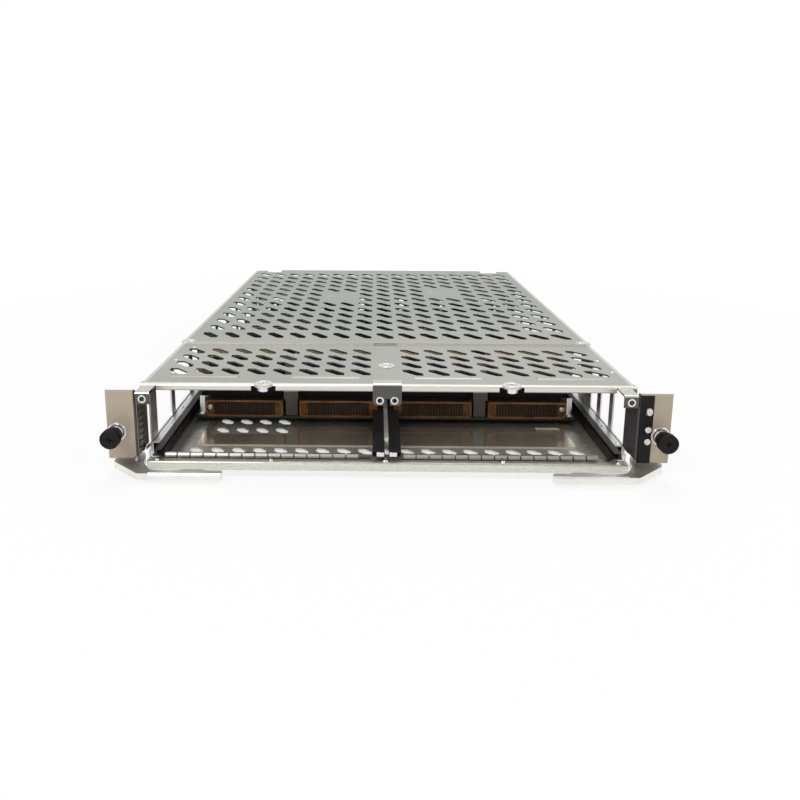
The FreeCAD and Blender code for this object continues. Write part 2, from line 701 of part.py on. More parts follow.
def corner_bracket(inner_x):
    """Angle whose tab carries a threaded collar; its strip lies under the cover."""
    x1 = inner_x + TAB_WIDE
    section = angle(PLATE_Y, FRONT_UNDER, 1, -1, PLATE_FACE + TAB_STRIP_BACK, TAB_HEIGHT)
    shape = prism("X", inner_x, x1, section)
    x = inner_x + TAB_WIDE / 2
    z = FRONT_UNDER - TAB_HOLE_DROP
    back = PLATE_Y + SHEET
    collar = peg("Y", COLLAR_R, COLLAR_SIDES, back, back + COLLAR_LENGTH, x, z)
    hole = rod("Y", THREAD_R, PLATE_Y, back + COLLAR_LENGTH, x, z)
    return cut(joined(shape, collar), hole)


def post(x):
    """Upright channel between two connectors, with a small tab to its front."""
    h = POST_WIDE / 2
    y0 = POST_Y
    y1 = POST_Y + POST_DEEP
    section = [(x - h, y0), (x + h, y0), (x + h, y1), (x + h - SHEET, y1),
               (x + h - SHEET, y0 + SHEET), (x - h + SHEET, y0 + SHEET),
               (x - h + SHEET, y1), (x - h, y1)]
    column = prism("Z", BOARD_TOP, FRONT_UNDER, section)
    reach = h + POST_TAB_SIDE
    tab = prism("X", x - reach, x + reach,
                angle(y0 - POST_TAB_OUT, POST_TAB_HIGH, 1, -1, POST_TAB_OUT,
                      POST_TAB_HIGH - POST_TAB_LOW))
    return joined(column, tab)


def bulkhead():
    """Partition behind the bays, bent back at the top, with feet beside the board."""
    low = BOARD_TOP + SHEET
    half = WALL_IN - BEND - FIT
    y0 = BULKHEAD_Y
    inner = WALL_IN - FLANGE - FIT
    web = prism("Y", y0, y0 + SHEET, rectangle(-half, half, low, FRONT_UNDER - FOLD))
    top = prism("X", -inner, inner, angle(y0, REAR_UNDER, 1, -1, BULKHEAD_FLANGE, FOLD + SHEET))
    foot = block(-half, -BOARD_HALF - FIT, y0, y0 + SHEET, SHEET * 2, low)
    return joined(web, top, foot, mirrored(foot))


def rear_wall():
    """Rear partition over the connectors, with a shelf bent forward under the cover."""
    y1 = REAR_WALL_Y
    low = BOARD_TOP + BACK_HEIGHT + BACK_CLEAR
    shelf_top = REAR_UNDER - SHELF_DROP
    half = WALL_IN - BEND - FIT
    inner = WALL_IN - FLANGE - FIT
    web = prism("Y", y1 - SHEET, y1, rectangle(-half, half, low, shelf_top - FOLD))
    shelf = prism("X", -inner, inner, angle(y1, shelf_top, -1, -1, SHELF_DEEP, FOLD))
    foot = block(-half, -BOARD_HALF - FIT, y1 - SHEET, y1, SHEET * 2, low)
    gaps = [block(x - SHELF_GAP_WIDE / 2, x + SHELF_GAP_WIDE / 2, y1 - SHELF_DEEP + FOLD,
                  y1 - FOLD * 2, shelf_top - SHEET * 2, shelf_top + SHEET) for x in SHELF_GAPS]
    return cut(joined(web, shelf, foot, mirrored(foot)), *gaps)


def rear_shield():
    """Plate over the rear connectors, folded down along its outer edge."""
    section = angle(REAR_END, REAR_UNDER, -1, -1, REAR_REACH + SHIELD_LAP, SKIRT)
    return prism("X", SHIELD_LEFT, SHIELD_RIGHT, section)


def guide_rail(x0, wide, rear, web_x, foot, foot_front):
    """Left-hand guide: a grooved bar with a flared start, carried on a thin web."""
    x1 = x0 + wide
    inner = x1 - RAIL_GROOVE_DEEP
    top = RAIL_LOW + RAIL_HEIGHT
    groove_low = RAIL_LOW + (RAIL_HEIGHT - RAIL_GROOVE) / 2
    groove_high = groove_low + RAIL_GROOVE
    section = [(x0, RAIL_LOW), (x1, RAIL_LOW), (x1, groove_low), (inner, groove_low),
               (inner, groove_high), (x1, groove_high), (x1, top), (x0, top)]
    bar = prism("Y", RAIL_FRONT, rear, section)
    web = block(web_x, web_x + RAIL_WEB, foot_front, rear, foot, RAIL_LOW)
    lead_end = RAIL_FRONT + LEAD_LENGTH
    lead = prism("X", inner, x1, [(RAIL_FRONT, groove_low - LEAD_FLARE), (lead_end, groove_low),
                                  (lead_end, groove_high), (RAIL_FRONT, groove_high + LEAD_FLARE)])
    return cut(joined(bar, web), lead)


def side_rail():
    web_x = -RAIL_OUT + (RAIL_WIDE - RAIL_GROOVE_DEEP) / 2
    return guide_rail(-RAIL_OUT, RAIL_WIDE, RAIL_REAR, web_x, SHEET, RAIL_FOOT_FRONT)


def centre_rail():
    side = RIB_WIDE / 2
    rear = CONNECTOR_FACE - FIT
    return guide_rail(side, CENTRE_RAIL_WIDE, rear, side, SHEET + PLATE_THICK, PLATE_FRONT)


def centre_divider():
    """Rib between the two middle guides; its tail reaches over the board."""
    h = RIB_WIDE / 2
    low = SHEET + PLATE_THICK
    face = CONNECTOR_FACE - FIT
    over = BOARD_TOP + FIT
    profile = [(RIB_FRONT, RAIL_LOW), (PLATE_FRONT, RAIL_LOW), (PLATE_FRONT, low), (face, low),
               (face, over), (RIB_REAR, over), (RIB_REAR, RIB_TOP), (RIB_FRONT, RIB_TOP, RIB_CORNER)]
    return prism("X", -h, h, profile)


def finger_strip(x0, x1):
    """Row of arched spring fingers on a common base, along the front lip."""
    t = FINGER_THICK
    c = FINGER_BEND
    y0 = LIP_BACK + SHEET - FINGER_DEEP
    y1 = LIP_BACK + SHEET
    low = LIP_HEIGHT + t
    high = LIP_HEIGHT + FINGER_HEIGHT
    lifted = LIP_HEIGHT + FINGER_OPEN
    arch = [(y1, low), (y1, high - c), (y1 - c, high), (y0 + c, high), (y0, high - c), (y0, lifted),
            (y0 + t, lifted), (y0 + t, high - c), (y0 + c, high - t), (y1 - c, high - t),
            (y1 - t, high - c), (y1 - t, low)]
    pieces = [block(x0, x1, y0, y1, LIP_HEIGHT, low)]
    for i in range(int((x1 - x0) / FINGER_PITCH)):
        start = x0 + FINGER_PITCH * i + FINGER_GAP / 2
        pieces.append(prism("X", start, start + FINGER_PITCH - FINGER_GAP, arch))
    return joined(*pieces)


def left_plate_gasket():
    """Finger strip on the inner face of the left plate's return flange."""
    x0 = -WALL_OUT + FINGER_THICK
    front = PLATE_BACK_Y + BEND
    rear = WALL_START - FIT
    base = block(-WALL_OUT, x0, front, rear, RETURN_LOW, RETURN_TOP)
    y0 = front + SIDE_FINGER_END
    y1 = rear - SIDE_FINGER_END
    bow = [(x0, y0), (x0 + SIDE_FINGER_RISE, y0 + SIDE_FINGER_SLOPE),
           (x0 + SIDE_FINGER_RISE, y1 - SIDE_FINGER_SLOPE), (x0, y1)]
    pitch = FINGER_PITCH / 2
    fingers = []
    for i in range(int((RETURN_TOP - RETURN_LOW) / pitch)):
        z = RETURN_LOW + pitch * i + FINGER_GAP / 2
        fingers.append(prism("Z", z, z + pitch - FINGER_GAP, bow))
    return joined(base, *fingers)


def end_plate(inner_x):
    """Left-hand plate: face, return flange along the wall and a foot over the lever."""
    t = PLATE_SHEET
    bent = prism("Z", PLATE_LOW, PLATE_TOP,
                 angle(-inner_x, PLATE_Y, -1, 1, CARD_HALF - inner_x, PLATE_FACE + RETURN_BACK, t))
    back = PLATE_BACK_Y + BEND
    trims = [block(-inner_x - t, -inner_x, back, RETURN_BACK, RETURN_TOP, PLATE_TOP),
             block(-inner_x - t, -inner_x, back, RETURN_BACK, PLATE_LOW, RETURN_LOW)]
    foot = prism("X", -CARD_HALF, -max(inner_x + t + BEND, WALL_OUT + FIT),
                 angle(PLATE_Y, PLATE_LOW, 1, 1, PLATE_FACE + FOOT_BACK, t + BEND, t))
    trims.append(block(-CARD_HALF, -inner_x, PLATE_Y, PLATE_BACK_Y, PLATE_LOW, PLATE_LOW + t + BEND))
    plate = joined(cut(bent, *trims), foot)
    hole = rod("Y", FERRULE_NECK, PLATE_Y, PLATE_BACK_Y, -SCREW_X, SCREW_Z)
    pivot = rod("Z", PIN_R, PLATE_LOW, PLATE_LOW + t, -PIVOT_X, PIVOT_Y)
    return cut(plate, hole, pivot)


def button_outline(margin, *corner):
    """Front view of the button, grown by a margin."""
    a = BUTTON_WIDE / 2 + margin
    b = BUTTON_TALL / 2 + margin
    return rectangle(STRIP_X - a, STRIP_X + a, BUTTON_Z - b, BUTTON_Z + b, *corner)


def right_end_plate():
    plate = mirrored(end_plate(RIGHT_INNER))
    holes = [prism("Y", PLATE_Y, PLATE_BACK_Y, button_outline(FIT))]
    for z in (UPPER_LENS_Z, LOWER_LENS_Z):
        holes.append(peg("Y", LENS_R, LENS_SIDES, PLATE_Y, PLATE_BACK_Y, STRIP_X, z))
    return cut(plate, *holes)


def indicator_strip():
    front = PLATE_Y - STRIP_THICK
    windows = [button_outline(FIT)]
    for z in (UPPER_LENS_Z, LOWER_LENS_Z):
        windows.append(polygon(LENS_R, LENS_SIDES, STRIP_X, z))
    shape = rectangle(STRIP_IN, STRIP_IN + STRIP_WIDE, PLATE_LOW + STRIP_MARGIN,
                      PLATE_TOP - STRIP_MARGIN)
    return prism("Y", front, PLATE_Y, shape, windows)


def release_button():
    """Button cap with a retaining foot behind the plate."""
    back = PLATE_BACK_Y + FIT
    cap = prism("Y", PLATE_Y - STRIP_THICK - BUTTON_PROUD, back, button_outline(0, BUTTON_CORNER))
    foot = prism("Y", back, back + BUTTON_FOOT, button_outline(BUTTON_FOOT))
    return joined(cap, foot)


def button_switch():
    """Switch housing behind the plate: an open box that the button's foot sinks into."""
    housing = prism("Y", PLATE_BACK_Y, PLATE_BACK_Y + SWITCH_DEEP, button_outline(SWITCH_MARGIN))
    room = prism("Y", PLATE_BACK_Y, PLATE_BACK_Y + SWITCH_ROOM,
                 button_outline(SWITCH_MARGIN - SWITCH_WALL))
    return cut(housing, room)


def lens(z):
    front = PLATE_Y - STRIP_THICK - LENS_PROUD
    tip = peg("Y", LENS_R, LENS_SIDES, front, PLATE_BACK_Y, STRIP_X, z)
    flange = peg("Y", LENS_R + LENS_FLANGE / 2, LENS_SIDES, PLATE_BACK_Y, PLATE_BACK_Y + LENS_FLANGE,
                 STRIP_X, z)
    return joined(tip, flange)


def lever():
    """Left-hand ejector lever: claw at the pivot end, hooked finger arm in front."""
    front = -ARM_REACH
    back = front + ARM_WIDE
    claw = PIVOT_X - CARD_HALF + FIT
    grip = back + GRIP_RISE
    # Places from the pivot, and the radius of each corner
    corners = [(ARM_LENGTH, front, 2.8), (ARM_LENGTH, back, 2.8), (GRIP_END, back, 4),
               (GRIP_END - GRIP_SLOPE, grip, 3), (GRIP_START + GRIP_SLOPE, grip, 3),
               (GRIP_START, back, 4), (ELBOW, back, 7), (ELBOW - 8, back / 2, 5), (NECK, 1, 5),
               (NECK - 2.5, CLAW_BACK, 4), (claw, CLAW_BACK, 1.5), (claw, CLAW_GAP, 1),
               (-CLAW_MOUTH, CLAW_GAP, 1.5), (-CLAW_MOUTH, -CLAW_GAP, 1.5), (claw, -CLAW_GAP, 1),
               (claw + 1, -CLAW_GAP * 3, 2), (ELBOW - CLAW_BACK, front, 4)]
    shape = [(u - PIVOT_X, v + PIVOT_Y, radius) for u, v, radius in corners]
    top = LEVER_LOW + LEVER_THICK
    body = prism("Z", LEVER_LOW, top, shape)
    hole = rod("Z", PIN_R + PIN_GAP, LEVER_LOW, top, -PIVOT_X, PIVOT_Y)
    y = PIVOT_Y + front
    bevel = prism("X", ELBOW - PIVOT_X, ARM_LENGTH - PIVOT_X,
                  [(y, top), (y, top - ARM_BEVEL), (y + ARM_BEVEL, top)])
    return cut(body, hole, bevel)


def lever_pin():
    """Shouldered rivet through the plate's foot, with a collar above the lever."""
    top = PLATE_LOW + PLATE_SHEET
    low = LEVER_LOW - FIT
    lever_top = LEVER_LOW + LEVER_THICK
    pieces = [rod("Z", PIN_R, low, top, -PIVOT_X, PIVOT_Y)]
    for z0, z1 in ((lever_top + FIT, PLATE_LOW), (top, top + PIN_HEAD), (low - PIN_HEAD, low)):
        pieces.append(peg("Z", PIN_HEAD_R, PIN_SIDES, z0, z1, -PIVOT_X, PIVOT_Y))
    return joined(*pieces)


def turned(x, steps):
    """Solid of revolution about a screw axis from (radius, y) points."""
    wire = Part.makePolygon([V(r, y, 0) for r, y in steps] + [V(steps[0][0], steps[0][1], 0)])
    solid = Part.Face(wire).revolve(V(0, 0, 0), V(0, 1, 0), 360)
    solid.translate(V(x, 0, SCREW_Z))
    return solid


def ferrule():
    bore = SCREW_R + FIT
    front = PLATE_Y - FERRULE_LENGTH
    return turned(-SCREW_X, [
        (bore, front), (FERRULE_R, front), (FERRULE_R, PLATE_Y), (FERRULE_NECK, PLATE_Y),
        (FERRULE_NECK, PLATE_BACK_Y), (bore, PLATE_BACK_Y)])


def knob():
    """Grip with flats round it, a cavity over the ferrule and a cross recess in front."""
    x = -SCREW_X
    z = SCREW_Z
    body = peg("Y", KNOB_R, KNOB_SIDES, KNOB_FRONT, KNOB_REAR, x, z)
    floor = KNOB_REAR - KNOB_CAVITY
    tools = [rod("Y", FERRULE_R + FIT * 2, floor, KNOB_REAR, x, z),
             rod("Y", SCREW_R, KNOB_FRONT + KNOB_WALL, floor, x, z)]
    for a, b in ((CROSS_LONG, CROSS_WIDE), (CROSS_WIDE, CROSS_LONG)):
        tools.append(block(x - a, x + a, KNOB_FRONT, KNOB_FRONT + CROSS_DEEP, z - b, z + b))
    return cut(body, *tools)


def captive_screw():
    start = KNOB_FRONT + KNOB_WALL
    tip = PLATE_BACK_Y + SCREW_TIP
    groove = PLATE_BACK_Y + FIT - PIN_GAP
    groove_end = groove + RING_THICK + PIN_GAP * 2
    return turned(-SCREW_X, [
        (0, start), (SCREW_R, start), (SCREW_R, groove), (GROOVE_R, groove), (GROOVE_R, groove_end),
        (SCREW_R, groove_end), (SCREW_R, tip - TIP_CHAMFER), (SCREW_R - TIP_CHAMFER, tip), (0, tip)])


def retaining_ring():
    ring = PLATE_BACK_Y + FIT
    inner = GROOVE_R + PIN_GAP
    return turned(-SCREW_X, [(inner, ring), (RING_R, ring), (RING_R, ring + RING_THICK),
                             (inner, ring + RING_THICK)])


def main_board():
    return block(-BOARD_HALF, BOARD_HALF, BOARD_FRONT, BOARD_REAR, BOARD_LOW, BOARD_TOP)


def board_standoffs():
    step = (BOARD_REAR - BOARD_FRONT - STANDOFF_FRONT - STANDOFF_REAR) / (STANDOFF_ROWS - 1)
    pillars = []
    for x in (STANDOFF_IN - BOARD_HALF, 0, BOARD_HALF - STANDOFF_IN):
        for i in range(STANDOFF_ROWS):
            y = BOARD_FRONT + STANDOFF_FRONT + i * step
            pillars.append(peg("Z", STANDOFF_R, STANDOFF_SIDES, SHEET, BOARD_LOW, x, y))
    return Part.makeCompound(pillars)


def connector_centres():
    return [CONNECTOR_PITCH * (i - 1.5) for i in range(4)]


def guide_pin_x():
    return connector_centres()[-1] + CONNECTOR_WIDE / 2 - GUIDE_PIN_IN


def bay_connector(x):
    """Right-angle connector: slotted front block, back plate and upper bar in one moulding."""
    h = CONNECTOR_WIDE / 2
    rear = CONNECTOR_REAR
    back = rear - CONNECTOR_BACK
    bar = rear - CONNECTOR_TOP_DEEP
    section = [(CONNECTOR_FACE, BOARD_TOP), (rear, BOARD_TOP), (rear, CONNECTOR_TOP_HIGH),
               (bar, CONNECTOR_TOP_HIGH), (bar, CONNECTOR_TOP_LOW), (back, CONNECTOR_TOP_LOW),
               (back, CONNECTOR_BLOCK), (CONNECTOR_FACE, CONNECTOR_BLOCK)]
    body = prism("X", x - h, x + h, section)
    slots = []
    for i in range(CONTACT_COUNT):
        left = x + CONTACT_PITCH * (i - (CONTACT_COUNT - 1) / 2) - CONTACT_WIDE / 2
        slots.append(block(left, left + CONTACT_WIDE, CONNECTOR_FACE, CONNECTOR_FACE + CONTACT_DEEP,
                           BOARD_TOP + CONTACT_LOW, CONNECTOR_BLOCK - CONTACT_TOP))
    if abs(x) > CONNECTOR_PITCH:
        side = math.copysign(guide_pin_x(), x)
        slots.append(peg("Y", GUIDE_PIN_R, PIN_SIDES, CONNECTOR_FACE, CONNECTOR_FACE + GUIDE_PIN_SEAT,
                         side, GUIDE_PIN_Z))
    return cut(body, *slots)


def connector_wafers():
    h = CONNECTOR_WIDE / 2 - WAFER_IN
    front = CONNECTOR_FACE + WAFER_SETBACK
    rear = CONNECTOR_REAR - CONNECTOR_BACK
    return Part.makeCompound([block(x - h, x + h, front, rear, CONNECTOR_BLOCK, CONNECTOR_TOP_LOW)
                              for x in connector_centres()])


def connector_pins():
    pins = []
    front = CONNECTOR_FACE - GUIDE_PIN_OUT
    for x in (-guide_pin_x(), guide_pin_x()):
        shank = peg("Y", GUIDE_PIN_R, PIN_SIDES, front, CONNECTOR_FACE + GUIDE_PIN_SEAT, x, GUIDE_PIN_Z)
        tip = peg("Y", GUIDE_PIN_R / 2, PIN_SIDES, front - GUIDE_PIN_TIP, front, x, GUIDE_PIN_Z)
        pins.append(joined(shank, tip))
    return Part.makeCompound(pins)


def sink_places():
    """Heat sinks as X and Y ranges, spread over the room behind the bulkhead."""
    room = REAR_END - BACK_DEEP - BULKHEAD_Y
    places = {}
    for name, x0, x1, start, end in SINKS:
        places[name] = (x0, x1, BULKHEAD_Y + room * start, BULKHEAD_Y + room * end)
    return places


def chips():
    pieces = []
    for x0, x1, y0, y1 in sink_places().values():
        x = (x0 + x1) / 2 - CHIP_HALF
        y = (y0 + y1) / 2 - CHIP_HALF
        pieces.append(block(x, x + CHIP_HALF * 2, y, y + CHIP_HALF * 2, BOARD_TOP,
                            BOARD_TOP + CHIP_HEIGHT))
    return Part.makeCompound(pieces)


def heatsink(x0, x1, y0, y1):
    """Comb of straight fins along the air flow, which runs across the card."""
    low = BOARD_TOP + CHIP_HEIGHT
    base_top = low + SINK_BASE
    comb = [(y0, low), (y1, low), (y1, base_top)]
    count = int((y1 - y0 - FIN) / FIN_PITCH)
    for i in range(count, -1, -1):
        y = y0 + FIN_PITCH * i
        comb += [(y + FIN, base_top), (y + FIN, SINK_TOP), (y, SINK_TOP), (y, base_top)]
    comb.pop()
    return prism("X", x0, x1, comb)


def power_modules():
    wide, deep, tall = MODULE_SIZE
    y = BULKHEAD_Y + (REAR_END - BACK_DEEP - BULKHEAD_Y) * MODULE_ROW
    pieces = [block(x, x + wide, y, y + deep, BOARD_TOP, BOARD_TOP + tall) for x in MODULES]
    return Part.makeCompound(pieces)


def backplane_connectors():
    """Row of receptacles along the rear edge, each with long contact slots."""
    pieces = []
    h = BACK_WIDE / 2
    inner = h - BACK_WALL
    for i in range(BACK_COUNT):
        x = BACK_PITCH * (i - (BACK_COUNT - 1) / 2)
        body = block(x - h, x + h, REAR_END - BACK_DEEP, REAR_END, BOARD_TOP, BOARD_TOP + BACK_HEIGHT)
        slots = []
        for k in range(BACK_SLOTS):
            z = BOARD_TOP + BACK_HEIGHT * (k + 1) / (BACK_SLOTS + 1) - BACK_SLOT / 2
            slots.append(block(x - inner, x + inner, REAR_END - BACK_SLOT_DEEP, REAR_END,
                               z, z + BACK_SLOT))
        pieces.append(cut(body, *slots))
    return Part.makeCompound(pieces)


def guide_sockets():
    pieces = []
    h = SOCKET_SIZE / 2
    z = BOARD_TOP + h
    for x in (-SOCKET_X, SOCKET_X):
        body = block(x - h, x + h, REAR_END - SOCKET_LENGTH, REAR_END, BOARD_TOP, BOARD_TOP + SOCKET_SIZE)
        pieces.append(cut(body, rod("Y", SOCKET_R, REAR_END - SOCKET_LENGTH, REAR_END, x, z)))
    return Part.makeCompound(pieces)


def all_parts():
    strip_end = RAIL_OUT - RAIL_WIDE - STRIP_END_GAP
    parts = {
        "base_tray": base_tray(),
        "bay_floor_plate": bay_floor_plate(),
        "left_side_wall": side_wall(LEFT_BAY_WINDOWS, LEFT_REAR_WINDOW),
        "right_side_wall": mirrored(side_wall(RIGHT_BAY_WINDOWS, RIGHT_REAR_WINDOW)),
        "front_cover": front_cover(),
        "rear_cover": rear_cover(),
        "cover_screws": cover_screws(),
        "seam_beam": seam_beam(),
        "centre_top_rail": centre_top_rail(),
        "centre_bracket": centre_bracket(),
        "left_corner_bracket": corner_bracket(left_tab_x()),
        "right_corner_bracket": mirrored(corner_bracket(right_tab_x())),
        "left_post": post(-CONNECTOR_PITCH),
        "right_post": post(CONNECTOR_PITCH),
        "bulkhead": bulkhead(),
        "rear_wall": rear_wall(),
        "rear_shield": rear_shield(),
        "centre_divider": centre_divider(),
        "lower_left_gasket": finger_strip(-strip_end, -STRIP_CENTRE_GAP),
        "lower_right_gasket": finger_strip(STRIP_CENTRE_GAP, strip_end),
        "left_plate_gasket": left_plate_gasket(),
        "left_end_plate": end_plate(WALL_OUT),
        "right_end_plate": right_end_plate(),
        "indicator_strip": indicator_strip(),
        "release_button": release_button(),
        "button_switch": button_switch(),
        "upper_lens": lens(UPPER_LENS_Z),
        "lower_lens": lens(LOWER_LENS_Z),
        "main_board": main_board(),
        "board_standoffs": board_standoffs(),
        "connector_wafers": connector_wafers(),
        "connector_pins": connector_pins(),
        "chips": chips(),
        "power_modules": power_modules(),
        "backplane_connectors": backplane_connectors(),
        "guide_sockets": guide_sockets(),
        "centre_left_rail": mirrored(centre_rail()),
        "centre_right_rail": centre_rail(),
    }
    for name, place in sink_places().items():
        parts[name] = heatsink(*place)
    for i, x in enumerate(connector_centres()):
        parts[f"bay_connector_{i + 1}"] = bay_connector(x)
    pairs = {"guide_rail": side_rail(), "rail_ledge": rail_ledge(), "lever": lever(),
             "lever_pin": lever_pin(), "ferrule": ferrule(), "knob": knob(),
             "captive_screw": captive_screw(), "retaining_ring": retaining_ring()}
    for name, shape in pairs.items():
        parts["left_" + name] = shape
        parts["right_" + name] = mirrored(shape)
    return parts


os.makedirs("parts", exist_ok=True)
for node, shape in all_parts().items():
    shape.translate(V(0, -ORIGIN_Y, 0))
    shape.exportStep(f"parts/{node}.step")
    print(node, len(shape.Solids), round(shape.Volume))
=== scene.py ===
# %% [markdown]
# A service card lies flat on a white table: a folded sheet-metal box with a perforated cover,
# open at the front, with black thumbscrews and two ejector levers. The shape comes from CAD as
# a fixed frame. Blender gives it finishes, the small detail that CAD leaves out, light and a
# camera. The frame is loaded first.

# %% Load the frame
import math

import bmesh
import bpy
from mathutils import Matrix, Vector


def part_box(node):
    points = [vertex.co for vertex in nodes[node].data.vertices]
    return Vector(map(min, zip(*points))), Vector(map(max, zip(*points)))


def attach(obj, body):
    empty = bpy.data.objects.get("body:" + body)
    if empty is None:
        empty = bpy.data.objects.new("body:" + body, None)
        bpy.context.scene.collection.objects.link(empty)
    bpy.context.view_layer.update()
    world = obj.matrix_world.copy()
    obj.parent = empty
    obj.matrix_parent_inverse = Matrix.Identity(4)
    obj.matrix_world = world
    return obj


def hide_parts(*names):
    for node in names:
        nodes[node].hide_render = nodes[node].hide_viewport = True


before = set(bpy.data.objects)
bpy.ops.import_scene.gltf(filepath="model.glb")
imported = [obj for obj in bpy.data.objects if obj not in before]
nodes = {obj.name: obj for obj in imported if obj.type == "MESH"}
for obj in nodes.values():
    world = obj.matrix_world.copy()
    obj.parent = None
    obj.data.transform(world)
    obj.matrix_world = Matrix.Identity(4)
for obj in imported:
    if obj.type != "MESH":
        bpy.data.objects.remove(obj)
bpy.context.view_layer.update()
bpy.ops.object.select_all(action="DESELECT")

# %% [markdown]
# Sizes below are written in millimetres. Front-to-back places count from the front hem of the
# cover, which stands a little behind the front edge of the tray's lip. They could count from the
# middle of the card, but from the hem they stay short and follow the frame.

# %% Measures
MM = 0.001
LIP_FRONT = 6.0
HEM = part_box("base_tray")[0].y + LIP_FRONT * MM


def at(x, y, z):
    """A place in metres, from millimetres across, behind the hem and up."""
    return Vector((x * MM, HEM + y * MM, z * MM))


print("hem at", round(HEM, 5))

# %% [markdown]
# The camera stands in front of the card and a little above it, as in the photograph. Upright
# edges look almost parallel there, which a view camera does by shifting its lens. A small shift
# with a small tilt gives nearly the same picture and still suits views from other sides.

# %% Camera
CAMERA_PLACE = (-0.0089, -0.7317, 0.2263)
CAMERA_YAW = 0.76
CAMERA_TILT = 11.24
CAMERA_ROLL = 0.19
LENS = 31.70
SHIFT_X, SHIFT_Y = 0.042, -0.13
NEAREST = 0.01
yaw, tilt, roll = (math.radians(a) for a in (CAMERA_YAW, CAMERA_TILT, CAMERA_ROLL))
ahead = Vector((-math.sin(yaw) * math.cos(tilt), math.cos(yaw) * math.cos(tilt), -math.sin(tilt)))
turn = ahead.to_track_quat("-Z", "Y").to_matrix() @ Matrix.Rotation(roll, 3, "Z")
camera = bpy.data.objects.new("camera", bpy.data.cameras.new("camera"))
bpy.context.scene.collection.objects.link(camera)
camera.location = CAMERA_PLACE
camera.rotation_euler = turn.to_euler()
camera.data.lens = LENS
camera.data.shift_x = SHIFT_X
camera.data.shift_y = SHIFT_Y
camera.data.clip_start = NEAREST
bpy.context.scene.camera = camera
bpy.context.scene.view_settings.view_transform = "Standard"
print("camera at", [round(v, 3) for v in camera.location])

# %% [markdown]
# The table, the room and all finishes are made of shader nodes. Each of these helpers adds a
# node, links it to what feeds it and hands back its output, so that a long chain of nodes reads
# like a sum.

# %% Helpers for nodes
def math_node(tree, operation, *values):
    """A math node fed by sockets or plain numbers."""
    node = tree.nodes.new("ShaderNodeMath")
    node.operation = operation
    for socket, value in zip(node.inputs, values):
        if isinstance(value, (int, float)):
            socket.default_value = value
        else:
            tree.links.new(value, socket)
    return node.outputs[0]


def ranged(tree, value, start, end, low, high):
    """Maps a value from between start and end to between low and high."""
    node = tree.nodes.new("ShaderNodeMapRange")
    numbers = {"From Min": start, "From Max": end, "To Min": low, "To Max": high}
    for name, number in numbers.items():
        node.inputs[name].default_value = number
    tree.links.new(value, node.inputs["Value"])
    return node.outputs[0]


def axes(tree, vector):
    """The X, Y and Z of a vector."""
    split = tree.nodes.new("ShaderNodeSeparateXYZ")
    tree.links.new(vector, split.inputs[0])
    return split.outputs


def coordinates(tree, kind):
    return tree.nodes.new("ShaderNodeTexCoord").outputs[kind]


def ray_kinds(tree):
    """1 or 0 for rays from the camera, and for rays by a mirror or through a clear piece."""
    path = tree.nodes.new("ShaderNodeLightPath").outputs
    mirrored = math_node(tree, "MAXIMUM", path["Is Glossy Ray"], path["Is Transmission Ray"])
    return path["Is Camera Ray"], mirrored


print("node helpers ready")

# %% [markdown]
# The table and the background are white. Rays that reach the table straight or by a mirror
# reflection see a white glow on it, so the polished sheet has something bright to reflect without
# more light falling on the card. Near the card the glow is weaker, which keeps its soft shadow,
# and it is weakest underneath, so the holes of the tray show a shaded table.

# %% Table and background
TABLE_SIZE = 8.0
TABLE_DROP = 0.0002
TABLE_TONE = (0.9, 0.9, 0.9, 1)
TABLE_ROUGH = 0.9
NEAR_GLOW = 0.82
GLOW_START, GLOW_FULL = 0.3, 0.75
UNDER_DIM = 0.3
UNDER_X, UNDER_Y = 0.175, 0.26

bpy.ops.mesh.primitive_plane_add(size=TABLE_SIZE, location=(0, 0, -TABLE_DROP))
table = bpy.context.object
table.name = "table"
white = bpy.data.materials.new("white_table")
white.use_nodes = True
tree = white.node_tree
cloth = tree.nodes["Principled BSDF"]
cloth.inputs["Base Color"].default_value = TABLE_TONE
cloth.inputs["Roughness"].default_value = TABLE_ROUGH
glow = tree.nodes.new("ShaderNodeEmission")
glow.inputs["Strength"].default_value = 1.0
here = coordinates(tree, "Object")
away = tree.nodes.new("ShaderNodeVectorMath")
away.operation = "LENGTH"
tree.links.new(here, away.inputs[0])
level = ranged(tree, away.outputs["Value"], GLOW_START, GLOW_FULL, NEAR_GLOW, 1.0)
within = [math_node(tree, "LESS_THAN", math_node(tree, "ABSOLUTE", value), reach)
          for value, reach in zip(axes(tree, here), (UNDER_X, UNDER_Y))]
under = math_node(tree, "MULTIPLY", math_node(tree, "MULTIPLY", *within), UNDER_DIM)
level = math_node(tree, "SUBTRACT", level, under)
seen = math_node(tree, "MAXIMUM", *ray_kinds(tree))
blend = tree.nodes.new("ShaderNodeMixShader")
tree.links.new(math_node(tree, "MULTIPLY", seen, level), blend.inputs[0])
tree.links.new(cloth.outputs[0], blend.inputs[1])
tree.links.new(glow.outputs[0], blend.inputs[2])
tree.links.new(blend.outputs[0], tree.nodes["Material Output"].inputs["Surface"])
table.data.materials.append(white)
print("white table ready")

# %% [markdown]
# The room is white where the camera sees it. Mirror reflections find it white near the horizon
# and greyer overhead, like a studio whose ceiling is darker than its walls. Scattered light from
# it is weak, so the inside of the card stays dark, as it does under a real cover. A picture of a
# studio could surround the card too, but this needs no file.

# %% White room
SCATTERED = 0.32
HORIZON, OVERHEAD = 0.05, 0.75
CEILING = 0.55

